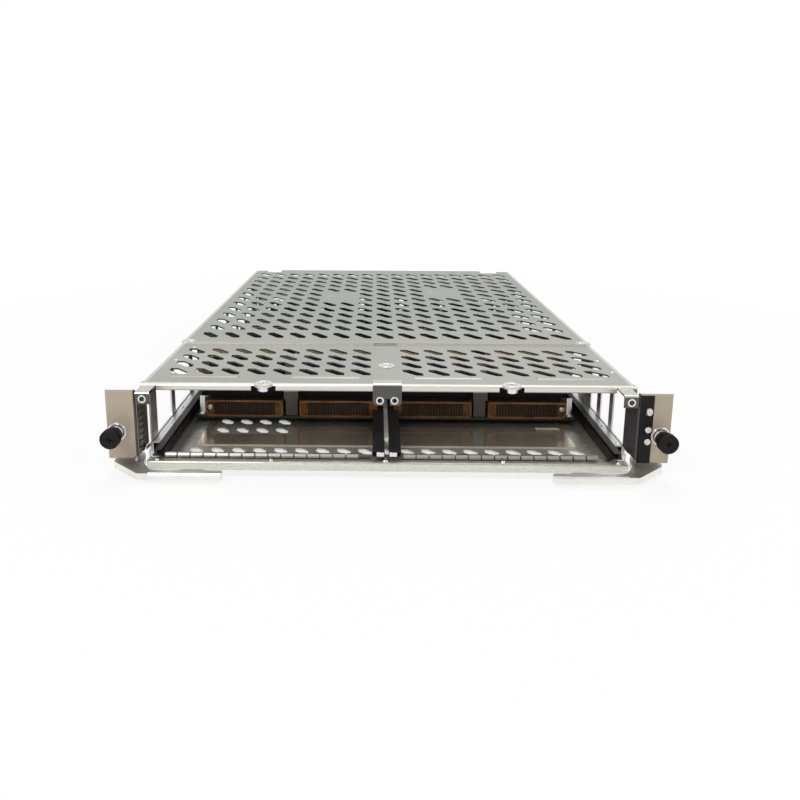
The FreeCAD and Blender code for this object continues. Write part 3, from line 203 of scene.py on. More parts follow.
world = bpy.data.worlds.new("studio")
bpy.context.scene.world = world
world.use_nodes = True
tree = world.node_tree
sky = tree.nodes["Background"]
sky.inputs["Color"].default_value = (1, 1, 1, 1)
height = axes(tree, coordinates(tree, "Generated"))["Z"]
walls = ranged(tree, height, HORIZON, OVERHEAD, 1.0, CEILING)
straight, mirrored = ray_kinds(tree)
level = math_node(tree, "MAXIMUM", math_node(tree, "MULTIPLY", mirrored, walls), SCATTERED)
level = math_node(tree, "MAXIMUM", level, straight)
tree.links.new(level, sky.inputs["Strength"])
print("white room ready")

# %% [markdown]
# Three large soft lamps: a wide one overhead for the covers, a main one in front and to the left,
# and a weaker one from the right, so that upright faces and the bays still show their shape.
# Small lamps would leave hard glints on bare metal, so all three are wide discs.

# %% Lamps
LAMPS = (("overhead_lamp", (0.1, 0.5, 2.0), 1.8, 22),
         ("main_lamp", (-0.8, -1.3, 1.3), 1.0, 13),
         ("side_lamp", (1.3, -0.7, 1.0), 0.9, 6))

for name, place, size, power in LAMPS:
    lamp = bpy.data.objects.new(name, bpy.data.lights.new(name, "AREA"))
    bpy.context.scene.collection.objects.link(lamp)
    lamp.data.shape = "DISK"
    lamp.data.size = size
    lamp.data.energy = power
    lamp.location = place
    lamp.rotation_euler = (-Vector(place)).to_track_quat("-Z", "Y").to_euler()
print(len(LAMPS), "lamps ready")

# %% [markdown]
# Every finish is a node material on the piece's own coordinates. These helpers add the patterns
# that all of them share: noise stretched along one direction for grain, two tones from noise, and
# a second colour where a face looks one way or lies in one place. Painted pictures would need a
# flat map of every piece; noise needs none and has no seams.

# %% Helpers for the finishes
TONE_LOW, TONE_HIGH = 0.35, 0.65
LEVEL_LIMIT = 0.5


def noise(tree, scale, detail):
    """Noise on the piece's coordinates; scale is cells a metre, even or along X, Y and Z."""
    mapping = tree.nodes.new("ShaderNodeMapping")
    mapping.inputs["Scale"].default_value = (scale,) * 3 if isinstance(scale, int) else scale
    texture = tree.nodes.new("ShaderNodeTexNoise")
    texture.inputs["Scale"].default_value = 1.0
    texture.inputs["Detail"].default_value = detail
    tree.links.new(coordinates(tree, "Object"), mapping.inputs["Vector"])
    tree.links.new(mapping.outputs[0], texture.inputs["Vector"])
    return texture.outputs["Fac"]


def two_tone(tree, value, first, second):
    ramp = tree.nodes.new("ShaderNodeValToRGB")
    ramp.color_ramp.elements[0].position = TONE_LOW
    ramp.color_ramp.elements[1].position = TONE_HIGH
    ramp.color_ramp.elements[0].color = (*first, 1)
    ramp.color_ramp.elements[1].color = (*second, 1)
    tree.links.new(value, ramp.inputs["Fac"])
    return ramp.outputs["Color"]


def mixed(tree, share, first, second):
    """First colour socket where share is 0, second colour where it is 1."""
    node = tree.nodes.new("ShaderNodeMix")
    node.data_type = "RGBA"
    factor, before, after = node.inputs[0], node.inputs[6], node.inputs[7]
    tree.links.new(share, factor)
    tree.links.new(first, before)
    after.default_value = (*second, 1)
    return node.outputs[2]


def facing(tree, axis):
    """The part of the surface normal along X, Y or Z, from -1 to 1."""
    return axes(tree, tree.nodes.new("ShaderNodeNewGeometry").outputs["Normal"])[axis]


def looks_up(tree, limit=LEVEL_LIMIT):
    return math_node(tree, "GREATER_THAN", facing(tree, "Z"), limit)


def point(tree):
    """The X, Y and Z of a point on the piece."""
    return axes(tree, coordinates(tree, "Object"))


print("finish helpers ready")

# %% [markdown]
# A coat is built the same way for every material: two tones from a coarse noise, roughness from a
# finer one, and a slight bump from that. A retouch step may then change the tone by place. The
# plain colour and roughness are what a viewer without nodes would show.

# %% Coats
NOISE_LOW, NOISE_HIGH = 0.3, 0.7
GRAIN_DEPTH = 0.1


def finish(name, color, metallic, roughness):
    material = bpy.data.materials.new(name)
    material.use_nodes = True
    shader = material.node_tree.nodes["Principled BSDF"]
    shader.inputs["Base Color"].default_value = (*color, 1)
    shader.inputs["Metallic"].default_value = metallic
    shader.inputs["Roughness"].default_value = roughness
    return material, material.node_tree, shader


def roughen(tree, shader, value, low, high):
    """Noise, which stays near one half, becomes a range of roughness."""
    rough = ranged(tree, value, NOISE_LOW, NOISE_HIGH, low, high)
    tree.links.new(rough, shader.inputs["Roughness"])


def bump(tree, shader, value, strength):
    node = tree.nodes.new("ShaderNodeBump")
    node.inputs["Strength"].default_value = strength
    node.inputs["Distance"].default_value = GRAIN_DEPTH * MM
    tree.links.new(value, node.inputs["Height"])
    tree.links.new(node.outputs[0], shader.inputs["Normal"])


def as_is(tree, tone):
    return tone


def coat(name, color, metallic, roughness, clouds, tones, grain, rough, relief=0.0,
         specular=None, retouch=as_is):
    """A finish; clouds and grain are a noise scale with its detail."""
    material, tree, shader = finish(name, color, metallic, roughness)
    tone = two_tone(tree, noise(tree, *clouds), *tones)
    tree.links.new(retouch(tree, tone), shader.inputs["Base Color"])
    fine = noise(tree, *grain)
    roughen(tree, shader, fine, *rough)
    if relief:
        bump(tree, shader, fine, relief)
    if specular is not None:
        shader.inputs["Specular IOR Level"].default_value = specular
    return material


def dress(material, *names):
    for name in names:
        slots = nodes[name].data.materials
        slots.clear()
        slots.append(material)


print("coats ready")

# %% [markdown]
# Zinc-plated sheet is a satin grey metal with faint cloudy patches and a fine rolling grain.
# Faces that stand upright are mixed with a second tone of painted light and shade: a painted
# highlight on folded flanges, painted shade in the walls of punched slots and on the fronts of
# the brackets. Faces that look down get painted shade and are darker than the top. Each fold could
# have a material of its own, but the surface normal tells the same for all of them.

# %% Zinc-plated sheet
UPRIGHT_LIMIT = 0.4
UNDER_LIMIT = -0.5
CLOUDS = (9, 4)
ROLLING = ((110, 2600, 2600), 2)
SMOOTHER, ROUGHER = 0.03, 0.04
ROLLING_RELIEF = 0.012


def zinc_finish(name, dull, light, upright, under, rough, metallic=1.0, retouch=as_is):
    def by_facing(tree, tone):
        # painted light and shade by facing: upright faces take the upright tone, faces that look
        # down the darker under tone
        up = facing(tree, "Z")
        stands = math_node(tree, "LESS_THAN", math_node(tree, "ABSOLUTE", up), UPRIGHT_LIMIT)
        hangs = math_node(tree, "LESS_THAN", up, UNDER_LIMIT)
        return retouch(tree, mixed(tree, hangs, mixed(tree, stands, tone, upright), under))

    return coat(name, light, metallic, rough, CLOUDS, (dull, light), ROLLING,
                (rough - SMOOTHER, rough + ROUGHER), ROLLING_RELIEF, retouch=by_facing)


# Inside the card the sheet is a darker copy with painted shade: the upright and downward faces of
# these parts are near black, as they lie in the shade under the covers.
inner_zinc = zinc_finish("zinc_inside", dull=(0.36, 0.38, 0.36), light=(0.44, 0.455, 0.43),
                         upright=(0.12, 0.112, 0.1), under=(0.1, 0.1, 0.095), rough=0.5)
# The gasket in the left plate is a darker copy, painted for the dark inside of the card that it
# reflects, with a painted highlight on its upright fingers.
spring_zinc = zinc_finish("zinc_spring", dull=(0.26, 0.24, 0.21), light=(0.36, 0.33, 0.29),
                          upright=(0.42, 0.39, 0.35), under=(0.15, 0.14, 0.13), rough=0.3)
pale_zinc = zinc_finish("zinc_pale", dull=(0.78, 0.77, 0.75), light=(0.84, 0.83, 0.81),
                        upright=(0.84, 0.83, 0.81), under=(0.6, 0.59, 0.57), rough=0.4)
# The upright fronts of the brackets get painted shade, near black under the lighter top.
bracket_zinc = zinc_finish("zinc_bracket", dull=(0.66, 0.65, 0.6), light=(0.74, 0.73, 0.67),
                           upright=(0.11, 0.105, 0.095), under=(0.15, 0.145, 0.14), rough=0.24)
finger_zinc = zinc_finish("zinc_finger", dull=(0.48, 0.47, 0.42), light=(0.56, 0.55, 0.49),
                          upright=(0.26, 0.25, 0.215), under=(0.2, 0.19, 0.17), rough=0.3)
dress(finger_zinc, "lower_left_gasket", "lower_right_gasket")
dress(bracket_zinc, "centre_bracket", "left_corner_bracket", "right_corner_bracket")
dress(inner_zinc, "seam_beam", "centre_top_rail", "left_post", "right_post", "bulkhead")
dress(spring_zinc, "left_plate_gasket")
dress(pale_zinc, "left_side_wall", "right_side_wall", "left_rail_ledge", "right_rail_ledge",
      "rear_wall")
print("zinc sheet finishes ready")

# %% [markdown]
# The tray's sheet is hazier than the walls: under the plating lies a dull layer that scatters
# light, so its floor stays pale even where it mirrors the dark inside of the card. The middle rib
# is hazier still. A second shader could be mixed in for the haze; a lower metallic value gives
# nearly the same with one.

# %% Tray and middle rib
tray_zinc = zinc_finish("zinc_tray", dull=(0.58, 0.57, 0.5), light=(0.66, 0.65, 0.57),
                        upright=(0.76, 0.75, 0.67), under=(0.4, 0.39, 0.36), rough=0.28,
                        metallic=0.6)
rib_zinc = zinc_finish("zinc_rib", dull=(0.72, 0.71, 0.63), light=(0.8, 0.79, 0.71),
                       upright=(0.78, 0.77, 0.69), under=(0.5, 0.49, 0.44), rough=0.35,
                       metallic=0.2)
dress(tray_zinc, "base_tray")
dress(rib_zinc, "centre_divider")
print("tray and rib finishes ready")

# %% [markdown]
# The covers use the same sheet with a few more steps. The walls of their slots carry painted
# shade, but the front hem, the side skirts and the edge at the seam, which stand upright too, get
# a painted highlight. The lower part of the hem gets painted shade, and the top darkens towards
# the rear. Faces could be picked by hand for each tone; where a point lies tells them apart
# without that.

# %% Covers
SKIRT_START = 176.0
HEM_DEEP = 4.0
HEM_SHADE = 59.6
SEAM_Y, SEAM_REACH = 113.0, 0.5
REAR_START, REAR_FULL = 60, 260
REAR_SHARE = 0.7
REAR_TONE = (0.36, 0.385, 0.35)
PAINTED_HIGHLIGHT_TONE = (0.7, 0.68, 0.61)
SHADE_TONE = (0.3, 0.285, 0.25)


def cover_tones(tree, tone):
    x, y, z = point(tree)
    hem = math_node(tree, "LESS_THAN", y, HEM + HEM_DEEP * MM)
    skirt = math_node(tree, "GREATER_THAN", math_node(tree, "ABSOLUTE", x), SKIRT_START * MM)
    seam = math_node(tree, "COMPARE", y, HEM + SEAM_Y * MM, SEAM_REACH * MM)
    outer = math_node(tree, "MAXIMUM", math_node(tree, "MAXIMUM", hem, skirt), seam)
    rear = ranged(tree, y, HEM + REAR_START * MM, HEM + REAR_FULL * MM, 0.0, REAR_SHARE)
    rear_top = math_node(tree, "MULTIPLY", rear, looks_up(tree))
    low_hem = math_node(tree, "MULTIPLY", hem, math_node(tree, "LESS_THAN", z, HEM_SHADE * MM))
    tone = mixed(tree, rear_top, tone, REAR_TONE)
    # painted highlight on the hem, the side skirts and the seam edge
    tone = mixed(tree, outer, tone, PAINTED_HIGHLIGHT_TONE)
    # painted shade on the lower hem
    return mixed(tree, low_hem, tone, SHADE_TONE)


cover_zinc = zinc_finish("zinc_cover", dull=(0.43, 0.44, 0.405), light=(0.5, 0.5, 0.46),
                         upright=(0.1, 0.1, 0.095), under=(0.16, 0.155, 0.15), rough=0.4,
                         retouch=cover_tones)
dress(cover_zinc, "front_cover", "rear_cover", "rear_shield")
print("cover finish ready")

# %% [markdown]
# The floor plate of the bays is polished and mirrors what stands near it. Its polishing lines run
# across the card, so reflections smear towards the viewer, and a faint waviness in the thin sheet
# breaks them up further. Blender's anisotropy could smear them too, but noise stretched in the
# bump also shows the lines themselves.

# %% Polished floor
WAVES = ((26, 9, 26), 3)
POLISHING = ((14, 1600, 1600), 2)
polished, tree, shader = finish("polished_floor", (0.67, 0.6, 0.5), metallic=0.75, roughness=0.13)
waves = noise(tree, *WAVES)
tone = two_tone(tree, waves, (0.58, 0.52, 0.42), (0.76, 0.69, 0.57))
tree.links.new(tone, shader.inputs["Base Color"])
roughen(tree, shader, waves, low=0.08, high=0.18)
bump(tree, shader, noise(tree, *POLISHING), strength=0.2)
dress(polished, "bay_floor_plate")
print("polished floor ready")

# %% [markdown]
# The end plates have a warm pale satin coating with a fine speckle. The faces of their returns
# that look inwards, to the middle of the card, get painted shade. The sign of X tells the left
# plate from the right one, so one finish serves for both.

# %% End plates
INWARD_LIMIT = -0.5
RETURN_TONE = (0.07, 0.065, 0.062)


def dark_returns(tree, tone):
    side_of = math_node(tree, "SIGN", point(tree)["X"])
    outward = math_node(tree, "MULTIPLY", facing(tree, "X"), side_of)
    inward = math_node(tree, "LESS_THAN", outward, INWARD_LIMIT)
    # painted shade on the inward faces of the returns
    return mixed(tree, inward, tone, RETURN_TONE)


plate_coat = coat("warm_plate", (0.46, 0.385, 0.295), metallic=0.15, roughness=0.42,
                  clouds=(18, 2), tones=((0.435, 0.362, 0.275), (0.49, 0.413, 0.32)),
                  grain=(700, 3), rough=(0.36, 0.48), relief=0.06, retouch=dark_returns)
dress(plate_coat, "left_end_plate", "right_end_plate")
print("end plates ready")

# %% [markdown]
# The levers are satin light metal with a fine grain along the arm. Their top gets painted shade
# towards the elbow, near the corner of the card. A range over X fades it in, where a second
# material would leave a hard line.

# %% Lever metal
ELBOW_START, ELBOW_FULL = 158.0, 176.0
ELBOW_SHARE = 0.65
ELBOW_TONE = (0.2, 0.19, 0.18)
LEVER_TOP = 0.8


def dark_elbow(tree, tone):
    across = math_node(tree, "ABSOLUTE", point(tree)["X"])
    elbow = ranged(tree, across, ELBOW_START * MM, ELBOW_FULL * MM, 0.0, ELBOW_SHARE)
    elbow_top = math_node(tree, "MULTIPLY", elbow, looks_up(tree, LEVER_TOP))
    # painted shade on the lever top near the elbow
    return mixed(tree, elbow_top, tone, ELBOW_TONE)


lever_metal = coat("satin_lever", (0.94, 0.92, 0.88), metallic=0.8, roughness=0.34,
                   clouds=((40, 90, 90), 3), tones=((0.84, 0.82, 0.78), (0.92, 0.9, 0.86)),
                   grain=((80, 1800, 900), 2), rough=(0.26, 0.42), relief=0.1,
                   retouch=dark_elbow)
dress(lever_metal, "left_lever", "right_lever")
print("lever metal ready")

# %% [markdown]
# Screws, pins, ferrules and rings are bright plated steel. One even roughness would look like
# plastic film on such small parts, so it changes a little from place to place.

# %% Bright hardware
bright_steel = coat("bright_steel", (0.8, 0.8, 0.79), metallic=1.0, roughness=0.2,
                    clouds=(220, 3), tones=((0.72, 0.72, 0.71), (0.84, 0.84, 0.83)),
                    grain=(500, 2), rough=(0.12, 0.28))
dress(bright_steel, "cover_screws", "board_standoffs", "connector_pins",
      *[side + part for side in ("left_", "right_")
        for part in ("ferrule", "captive_screw", "retaining_ring", "lever_pin")])
print("bright hardware ready")

# %% [markdown]
# Card guides, chips and housings are black plastic with a fine moulded grain. The knobs and the
# indicator strip are a deeper black. A darker colour alone would still shine, so its specular
# level is lower as well.

# %% Black plastics
black = coat("black_moulding", (0.016, 0.016, 0.017), metallic=0.0, roughness=0.45,
             clouds=(60, 2), tones=((0.012, 0.012, 0.013), (0.022, 0.022, 0.023)),
             grain=(1500, 2), rough=(0.34, 0.55), relief=0.15)
deep_black = coat("deep_black", (0.005, 0.005, 0.005), metallic=0.0, roughness=0.5,
                  clouds=(300, 2), tones=((0.003, 0.003, 0.003), (0.008, 0.008, 0.007)),
                  grain=(1500, 2), rough=(0.42, 0.6), specular=0.22)
dress(black, "left_guide_rail", "right_guide_rail", "centre_left_rail", "centre_right_rail",
      "button_switch", "power_modules", "chips", "backplane_connectors", "guide_sockets")
dress(deep_black, "connector_wafers", "indicator_strip", "left_knob", "right_knob",
      "release_button")
print("black plastics ready")

# %% [markdown]
# The bay connectors are amber brown resin, slightly glossy and uneven in colour. The tops of
# their blocks get painted shade, and the bars above get a golden painted light, as if lit through
# the holes of the cover. Their frames are a lighter amber, and the contact fields a darker one
# with painted shade, almost black, in the gaps between the ribs. One resin function makes all
# three, because only their tones differ.

# %% Amber resin
BLOCK_TOP = 30.0
GAP_Y = 81.3
BLOCK_TOP_SHADE = (0.02, 0.014, 0.01)
UPPER_BAR_PAINTED_LIGHT = (0.85, 0.58, 0.2)
GAP_SHADE = (0.008, 0.004, 0.002)


def connector_tones(tree, tone):
    z = point(tree)["Z"]
    block = math_node(tree, "LESS_THAN", z, BLOCK_TOP * MM)
    block_top = math_node(tree, "MULTIPLY", block, looks_up(tree))
    # painted shade on the block tops
    tone = mixed(tree, block_top, tone, BLOCK_TOP_SHADE)
    upper_bar = math_node(tree, "GREATER_THAN", z, BLOCK_TOP * MM)
    # painted light on the bars above the blocks
    return mixed(tree, upper_bar, tone, UPPER_BAR_PAINTED_LIGHT)


def dark_gaps(tree, tone):
    gap = math_node(tree, "GREATER_THAN", point(tree)["Y"], HEM + GAP_Y * MM)
    # painted shade in the gaps between the ribs
    return mixed(tree, gap, tone, GAP_SHADE)


def resin(name, deep_tone, light_tone, retouch=as_is):
    return coat(name, light_tone, metallic=0.0, roughness=0.3,
                clouds=((90, 90, 160), 3), tones=(deep_tone, light_tone),
                grain=(900, 2), rough=(0.24, 0.38), specular=0.3, retouch=retouch)


amber = resin("amber_resin", (0.15, 0.06, 0.017), (0.27, 0.12, 0.038), connector_tones)
amber_edge = resin("amber_edge", (0.2, 0.088, 0.027), (0.34, 0.16, 0.055))
amber_field = resin("amber_field", (0.045, 0.02, 0.007), (0.09, 0.042, 0.014), dark_gaps)
dress(amber, *["bay_connector_%d" % i for i in range(1, 5)])
print("amber resin ready")

# %% [markdown]
# The lenses and the button are a pale milky plastic. The board is a dark green laminate with a
# weave of tracks, the heat sinks are bare aluminium with the lines that extrusion leaves, and the
# rear contacts are gold-plated. Tracks and drawn lines could be modelled, but at this distance
# they are only a grain, so stretched noise serves.

# %% Lenses and electronics
TRACKS = ((420, 26, 420), 1)
pale = coat("pale_light_guide", (0.78, 0.78, 0.72), metallic=0.0, roughness=0.25,
            clouds=(400, 2), tones=((0.72, 0.72, 0.66), (0.84, 0.84, 0.78)),
            grain=(900, 2), rough=(0.18, 0.34))
laminate = coat("green_laminate", (0.012, 0.03, 0.018), metallic=0.0, roughness=0.4,
                clouds=TRACKS, tones=((0.007, 0.016, 0.01), (0.016, 0.036, 0.021)),
                grain=TRACKS, rough=(0.34, 0.46), relief=0.1)
extruded = coat("extruded_aluminium", (0.5, 0.51, 0.52), metallic=1.0, roughness=0.42,
                clouds=((6, 200, 200), 2), tones=((0.42, 0.43, 0.44), (0.54, 0.55, 0.56)),
                grain=((20, 900, 900), 2), rough=(0.34, 0.52), relief=0.12)
gold = coat("gold_contact", (0.75, 0.5, 0.16), metallic=1.0, roughness=0.25,
            clouds=(600, 2), tones=((0.66, 0.43, 0.13), (0.8, 0.56, 0.2)),
            grain=(1200, 2), rough=(0.18, 0.34))
dress(pale, "upper_lens", "lower_lens")
dress(laminate, "main_board")
dress(extruded, "left_heatsink", "right_heatsink")
print("lenses and electronics ready")

# %% [markdown]
# Small pieces that CAD leaves plain are modelled by hand from here on. A piece starts as a
# cylinder or a cube at the origin, in millimetres, and is moved to its place when it is done, so
# that tests on place stay simple.

# %% Helpers to start a piece
def alone(piece):
    bpy.ops.object.select_all(action="DESELECT")
    piece.select_set(True)
    bpy.context.view_layer.objects.active = piece


def settle():
    """Applies the transform of the piece in hand and returns it."""
    bpy.ops.object.transform_apply(location=True, rotation=True, scale=True)
    return bpy.context.object


def disc(radius, low, high, sides, axis="Z"):
    """A cylinder along Z or Y, centred on the origin, between two levels in millimetres."""
    bpy.ops.object.select_all(action="DESELECT")
    middle = (low + high) / 2 * MM
    lying = axis == "Y"
    bpy.ops.mesh.primitive_cylinder_add(
        vertices=sides, radius=radius * MM, depth=(high - low) * MM,
        location=(0, middle, 0) if lying else (0, 0, middle),
        rotation=(math.pi / 2, 0, 0) if lying else (0, 0, 0))
    return settle()


def bar(wide, deep, high, centre=(0, 0, 0)):
    """A cube scaled to size about a centre, all in millimetres."""
    bpy.ops.object.select_all(action="DESELECT")
    bpy.ops.mesh.primitive_cube_add(size=1, location=[v * MM for v in centre])
    bpy.context.object.scale = (wide * MM, deep * MM, high * MM)
    return settle()


print("helpers to start a piece ready")

# %% [markdown]
# Faces are picked by where they are and which way they look, then inset and pushed out or in.
# With the mouse they would be clicked; a test on place and normal finds the same faces each run.

# %% Helpers to shape faces
ALONG = 0.9


def edit(piece, kind):
    """Edit mode with nothing selected."""
    alone(piece)
    bpy.ops.object.mode_set(mode="EDIT")
    bpy.ops.mesh.select_mode(type=kind)
    bpy.ops.mesh.select_all(action="DESELECT")
    return bmesh.from_edit_mesh(piece.data)


def pick(piece, test):
    """Edit mode, with those faces selected whose centre (mm) and normal pass the test."""
    for face in edit(piece, "FACE").faces:
        face.select_set(test(face.calc_center_median() / MM, face.normal))
    bmesh.update_edit_mesh(piece.data)


def inset(width, lift=0.0, each=False):
    bpy.ops.mesh.inset(thickness=width * MM, depth=lift * MM, use_individual=each)


def push(x, y, z):
    bpy.ops.mesh.extrude_region_move(TRANSFORM_OT_translate={"value": (x * MM, y * MM, z * MM)})


def done():
    bpy.ops.object.mode_set(mode="OBJECT")


print("helpers to shape faces ready")

# %% [markdown]
# Edges are rounded by a bevel modifier that looks for sharp angles, and holes and crosses are cut
# with a second piece. Both could be modelled face by face, but the modifiers find the edges and
# the crossing lines by themselves, and are applied at once.

# %% Helpers to bevel and cut
ROUND_ANGLE = 40
CROSS_ARM = 0.24


def add_bevel(piece, name, width, steps, angle):
    bevel = piece.modifiers.new(name, "BEVEL")
    bevel.width = width * MM
    bevel.segments = steps
    bevel.limit_method = "ANGLE"
    bevel.angle_limit = math.radians(angle)
    return bevel


def round_edges(piece, width, steps=2):
    alone(piece)
    bevel = add_bevel(piece, "round_edges", width, steps, ROUND_ANGLE)
    bpy.ops.object.modifier_apply(modifier=bevel.name)


def combine(piece, other, operation):
    """Boolean of a second piece, which is used up."""
    alone(piece)
    step = piece.modifiers.new("combine", "BOOLEAN")
    step.operation = operation
    step.object = other
    bpy.ops.object.modifier_apply(modifier=step.name)
    bpy.data.objects.remove(other)


def cross_recess(piece, size, level, depth, axis="Z"):
    """Cuts a cross for a driver into the face at a level."""
    thin = size * CROSS_ARM
    if axis == "Y":
        arms = bar(size, depth * 2, thin, (0, level, 0)), bar(thin, depth * 2, size, (0, level, 0))
    else:
        arms = bar(size, thin, depth * 2, (0, 0, level)), bar(thin, size, depth * 2, (0, 0, level))
    combine(*arms, "UNION")
    combine(piece, arms[0], "DIFFERENCE")


print("helpers to bevel and cut ready")

# %% [markdown]
# A finished pattern is copied to its places, each copy with its own mesh, and the copies are
# joined. The piece then gets a name and a finish, and the frame is told which body it rides on
# and which nodes it stands in for.

# %% Helpers to finish a piece
SMOOTH_ANGLE = 35


def join(*pieces):
    bpy.ops.object.select_all(action="DESELECT")
    for piece in pieces:
        piece.select_set(True)
    bpy.context.view_layer.objects.active = pieces[0]
    bpy.ops.object.join()
    return bpy.context.object


def copies(pattern, places):
    """Copies of a pattern, each with its own mesh, joined into one piece."""
    pieces = []
    for place in places:
        piece = pattern.copy()
        piece.data = pattern.data.copy()
        piece.location = place
        bpy.context.scene.collection.objects.link(piece)
        pieces.append(piece)
    bpy.data.objects.remove(pattern)
    join(*pieces)
    return settle()


def keep(piece, name, body, slot, material, *replaced):
    """Names a finished piece, gives it its finish and tells the frame where it belongs."""
    alone(piece)
    bpy.ops.object.shade_smooth_by_angle(angle=math.radians(SMOOTH_ANGLE))
    piece.name = piece.data.name = name
    piece.data.materials.clear()
    piece.data.materials.append(material)
    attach(piece, body)
    if replaced:
        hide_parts(*replaced)
    print(name, len(piece.data.polygons), "faces")


# %% [markdown]
# A thumbscrew grip is a short black knob that a finger can turn: a knurled disc with a dished
# face and a driver cross, on a narrower neck that slides over the chrome ferrule. It starts as a
# cylinder; the neck and its hollow are drawn from the rear face, the edges are rounded, and the
# knurl is every second side face set in. A spun profile would be as round, but the cylinder
# already has the even side faces that the knurl needs.

# %% Thumbscrew grips
GRIP_R = 6.9
GRIP_DISC = 5.0
GRIP_LENGTH = 10.0
GRIP_SIDES = 48
GRIP_ROUND = 0.18
NECK_R = 5.9
HOLLOW_R = 5.5
HOLLOW_DEEP = 6.0
FACE_RIM, FACE_FLAT = 1.1, 1.6
DISH_SLOPE, DISH = 0.4, 0.6
BOSS_SLOPE, BOSS = 0.4, 0.35
KNURL_WALL, KNURL_DEEP = 0.1, 0.3
GRIP_CROSS, GRIP_CROSS_DEEP = 4.6, 1.0
NEAR_AXIS = 0.5
SIDEWAYS = 0.1


def every_second(centre):
    """True for every second side face round the Y axis."""
    step = 360 / GRIP_SIDES
    return int(math.degrees(math.atan2(centre.z, centre.x)) % 360 // step) % 2 == 0


def on_axis(centre):
    return math.hypot(centre.x, centre.z) < NEAR_AXIS


def on_rim(centre):
    return math.hypot(centre.x, centre.z) > (GRIP_R + NECK_R) / 2


def thumb_grip():
    grip = disc(GRIP_R, 0, GRIP_DISC, GRIP_SIDES, "Y")
    pick(grip, lambda c, n: n.y > ALONG and on_axis(c))
    inset(GRIP_R - NECK_R)
    push(0, GRIP_LENGTH - GRIP_DISC, 0)
    inset(NECK_R - HOLLOW_R)
    push(0, -HOLLOW_DEEP, 0)
    done()
    pick(grip, lambda c, n: n.y < -ALONG and on_axis(c))
    inset(FACE_RIM)
    inset(DISH_SLOPE, -DISH)
    inset(FACE_FLAT)
    inset(BOSS_SLOPE, BOSS)
    done()
    round_edges(grip, GRIP_ROUND)
    pick(grip, lambda c, n: abs(n.y) < SIDEWAYS and on_rim(c) and every_second(c))
    inset(KNURL_WALL, -KNURL_DEEP, each=True)
    done()
    cross_recess(grip, GRIP_CROSS, DISH - BOSS, GRIP_CROSS_DEEP, "Y")
    return grip


for side in ("left", "right"):
    low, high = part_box(side + "_knob")
    grip = copies(thumb_grip(), [((low.x + high.x) / 2, low.y, (low.z + high.z) / 2)])
    keep(grip, side + "_grip", side + "_thumbscrew", "black_plastic", deep_black, side + "_knob")

# %% [markdown]
# A bright collar is pressed into each end plate round the thumbscrew. It is a flat ring: a disc
# with both faces inset, and the two inner faces bridged into a hole. A torus would be quicker, but
# has no flat faces.

# %% Collars on the end plates
COLLAR_R = 6.8
COLLAR_WALL = 1.4
COLLAR_THICK = 1.2
PLATE_FACE = -15.5
RING_SIDES = 48
RING_ROUND, RING_STEPS = 0.3, 3


def flat_ring(radius, wall, thick, axis="Y"):
    """A ring that stands proud of a front face, or of a level one with axis Z."""
    low, high = (-thick, 0) if axis == "Y" else (0, thick)
    ring = disc(radius, low, high, RING_SIDES, axis)
    along = "XYZ".index(axis)
    pick(ring, lambda c, n: abs(n[along]) > ALONG)
    inset(wall)
    bpy.ops.mesh.bridge_edge_loops()
    done()
    round_edges(ring, thick * RING_ROUND, RING_STEPS)
    return ring


places = []
for side in ("left", "right"):
    low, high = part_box(side + "_knob")
    places.append(((low.x + high.x) / 2, at(0, PLATE_FACE, 0).y, (low.z + high.z) / 2))
keep(copies(flat_ring(COLLAR_R, COLLAR_WALL, COLLAR_THICK), places), "plate_collars", "card",
     "plated_hardware", bright_steel)

# %% [markdown]
# The threaded holes of the middle bracket and of the two corner tabs are drawn out into bright
# rims. They could be drawn from the brackets, but those belong to the frame, so the same flat
# ring, made smaller, sits round each hole.

# %% Rims of the threaded holes
RIM_R = 2.9
RIM_WALL = 1.0
RIM_THICK = 0.5
MIDDLE_HOLES = ((-5.3, 52.6), (5.3, 52.6))
CORNER_HOLES = ((-173.5, 57.5), (170.8, 57.5))
middle_face = (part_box("centre_bracket")[0].y - HEM) / MM
corner_face = (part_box("left_corner_bracket")[0].y - HEM) / MM
places = [at(x, middle_face, z) for x, z in MIDDLE_HOLES]
places += [at(x, corner_face, z) for x, z in CORNER_HOLES]
print("bracket faces", round(middle_face, 2), round(corner_face, 2))
keep(copies(flat_ring(RIM_R, RIM_WALL, RIM_THICK), places), "hole_rims", "card", "plated_hardware",
     bright_steel)

# %% [markdown]
# The covers are held by countersunk screws with a rim, a ring groove and a driver cross. Those of
# the front cover stand a little proud, those of the rear cover lie flush. Two studs with a nut
# under the sheet close the rear cover. The screw could be spun from a profile. A cone is chosen
# because it has the slope of the countersink: its top is inset and stepped, and its small end is
# drawn down into the shank.

# %% Cover screws
HEAD_R = 4.4
HEAD_SIDES = 36
HEAD_RIM = 0.9
HEAD_ROUND = 0.1
GROOVE_SLOPE, GROOVE_WIDE, GROOVE_DEEP = 0.2, 0.7, 0.3
CROWN_SLOPE, CROWN_DROP = 0.3, 0.05
HEAD_CROSS, HEAD_CROSS_DEEP = 2.6, 0.8
SHANK_R, SHANK = 1.65, 4.8
SMALL_SIDES = 24
SCREW_SHEET = 1.2
NUT_R, NUT_SIDES = 4.5, 6
STUD_ROUND = 0.12
FRONT_TOP, REAR_TOP = 63.8, 65.0
FRONT_PROUD, REAR_PROUD = 0.8, 0.0
FRONT_SCREWS = ((-90, 1.5), (90, 1.5), (0, 48))
REAR_SCREWS = ((-173, 118.1), (173, 118.1))
STUDS = ((-62, 320), (58, 348))


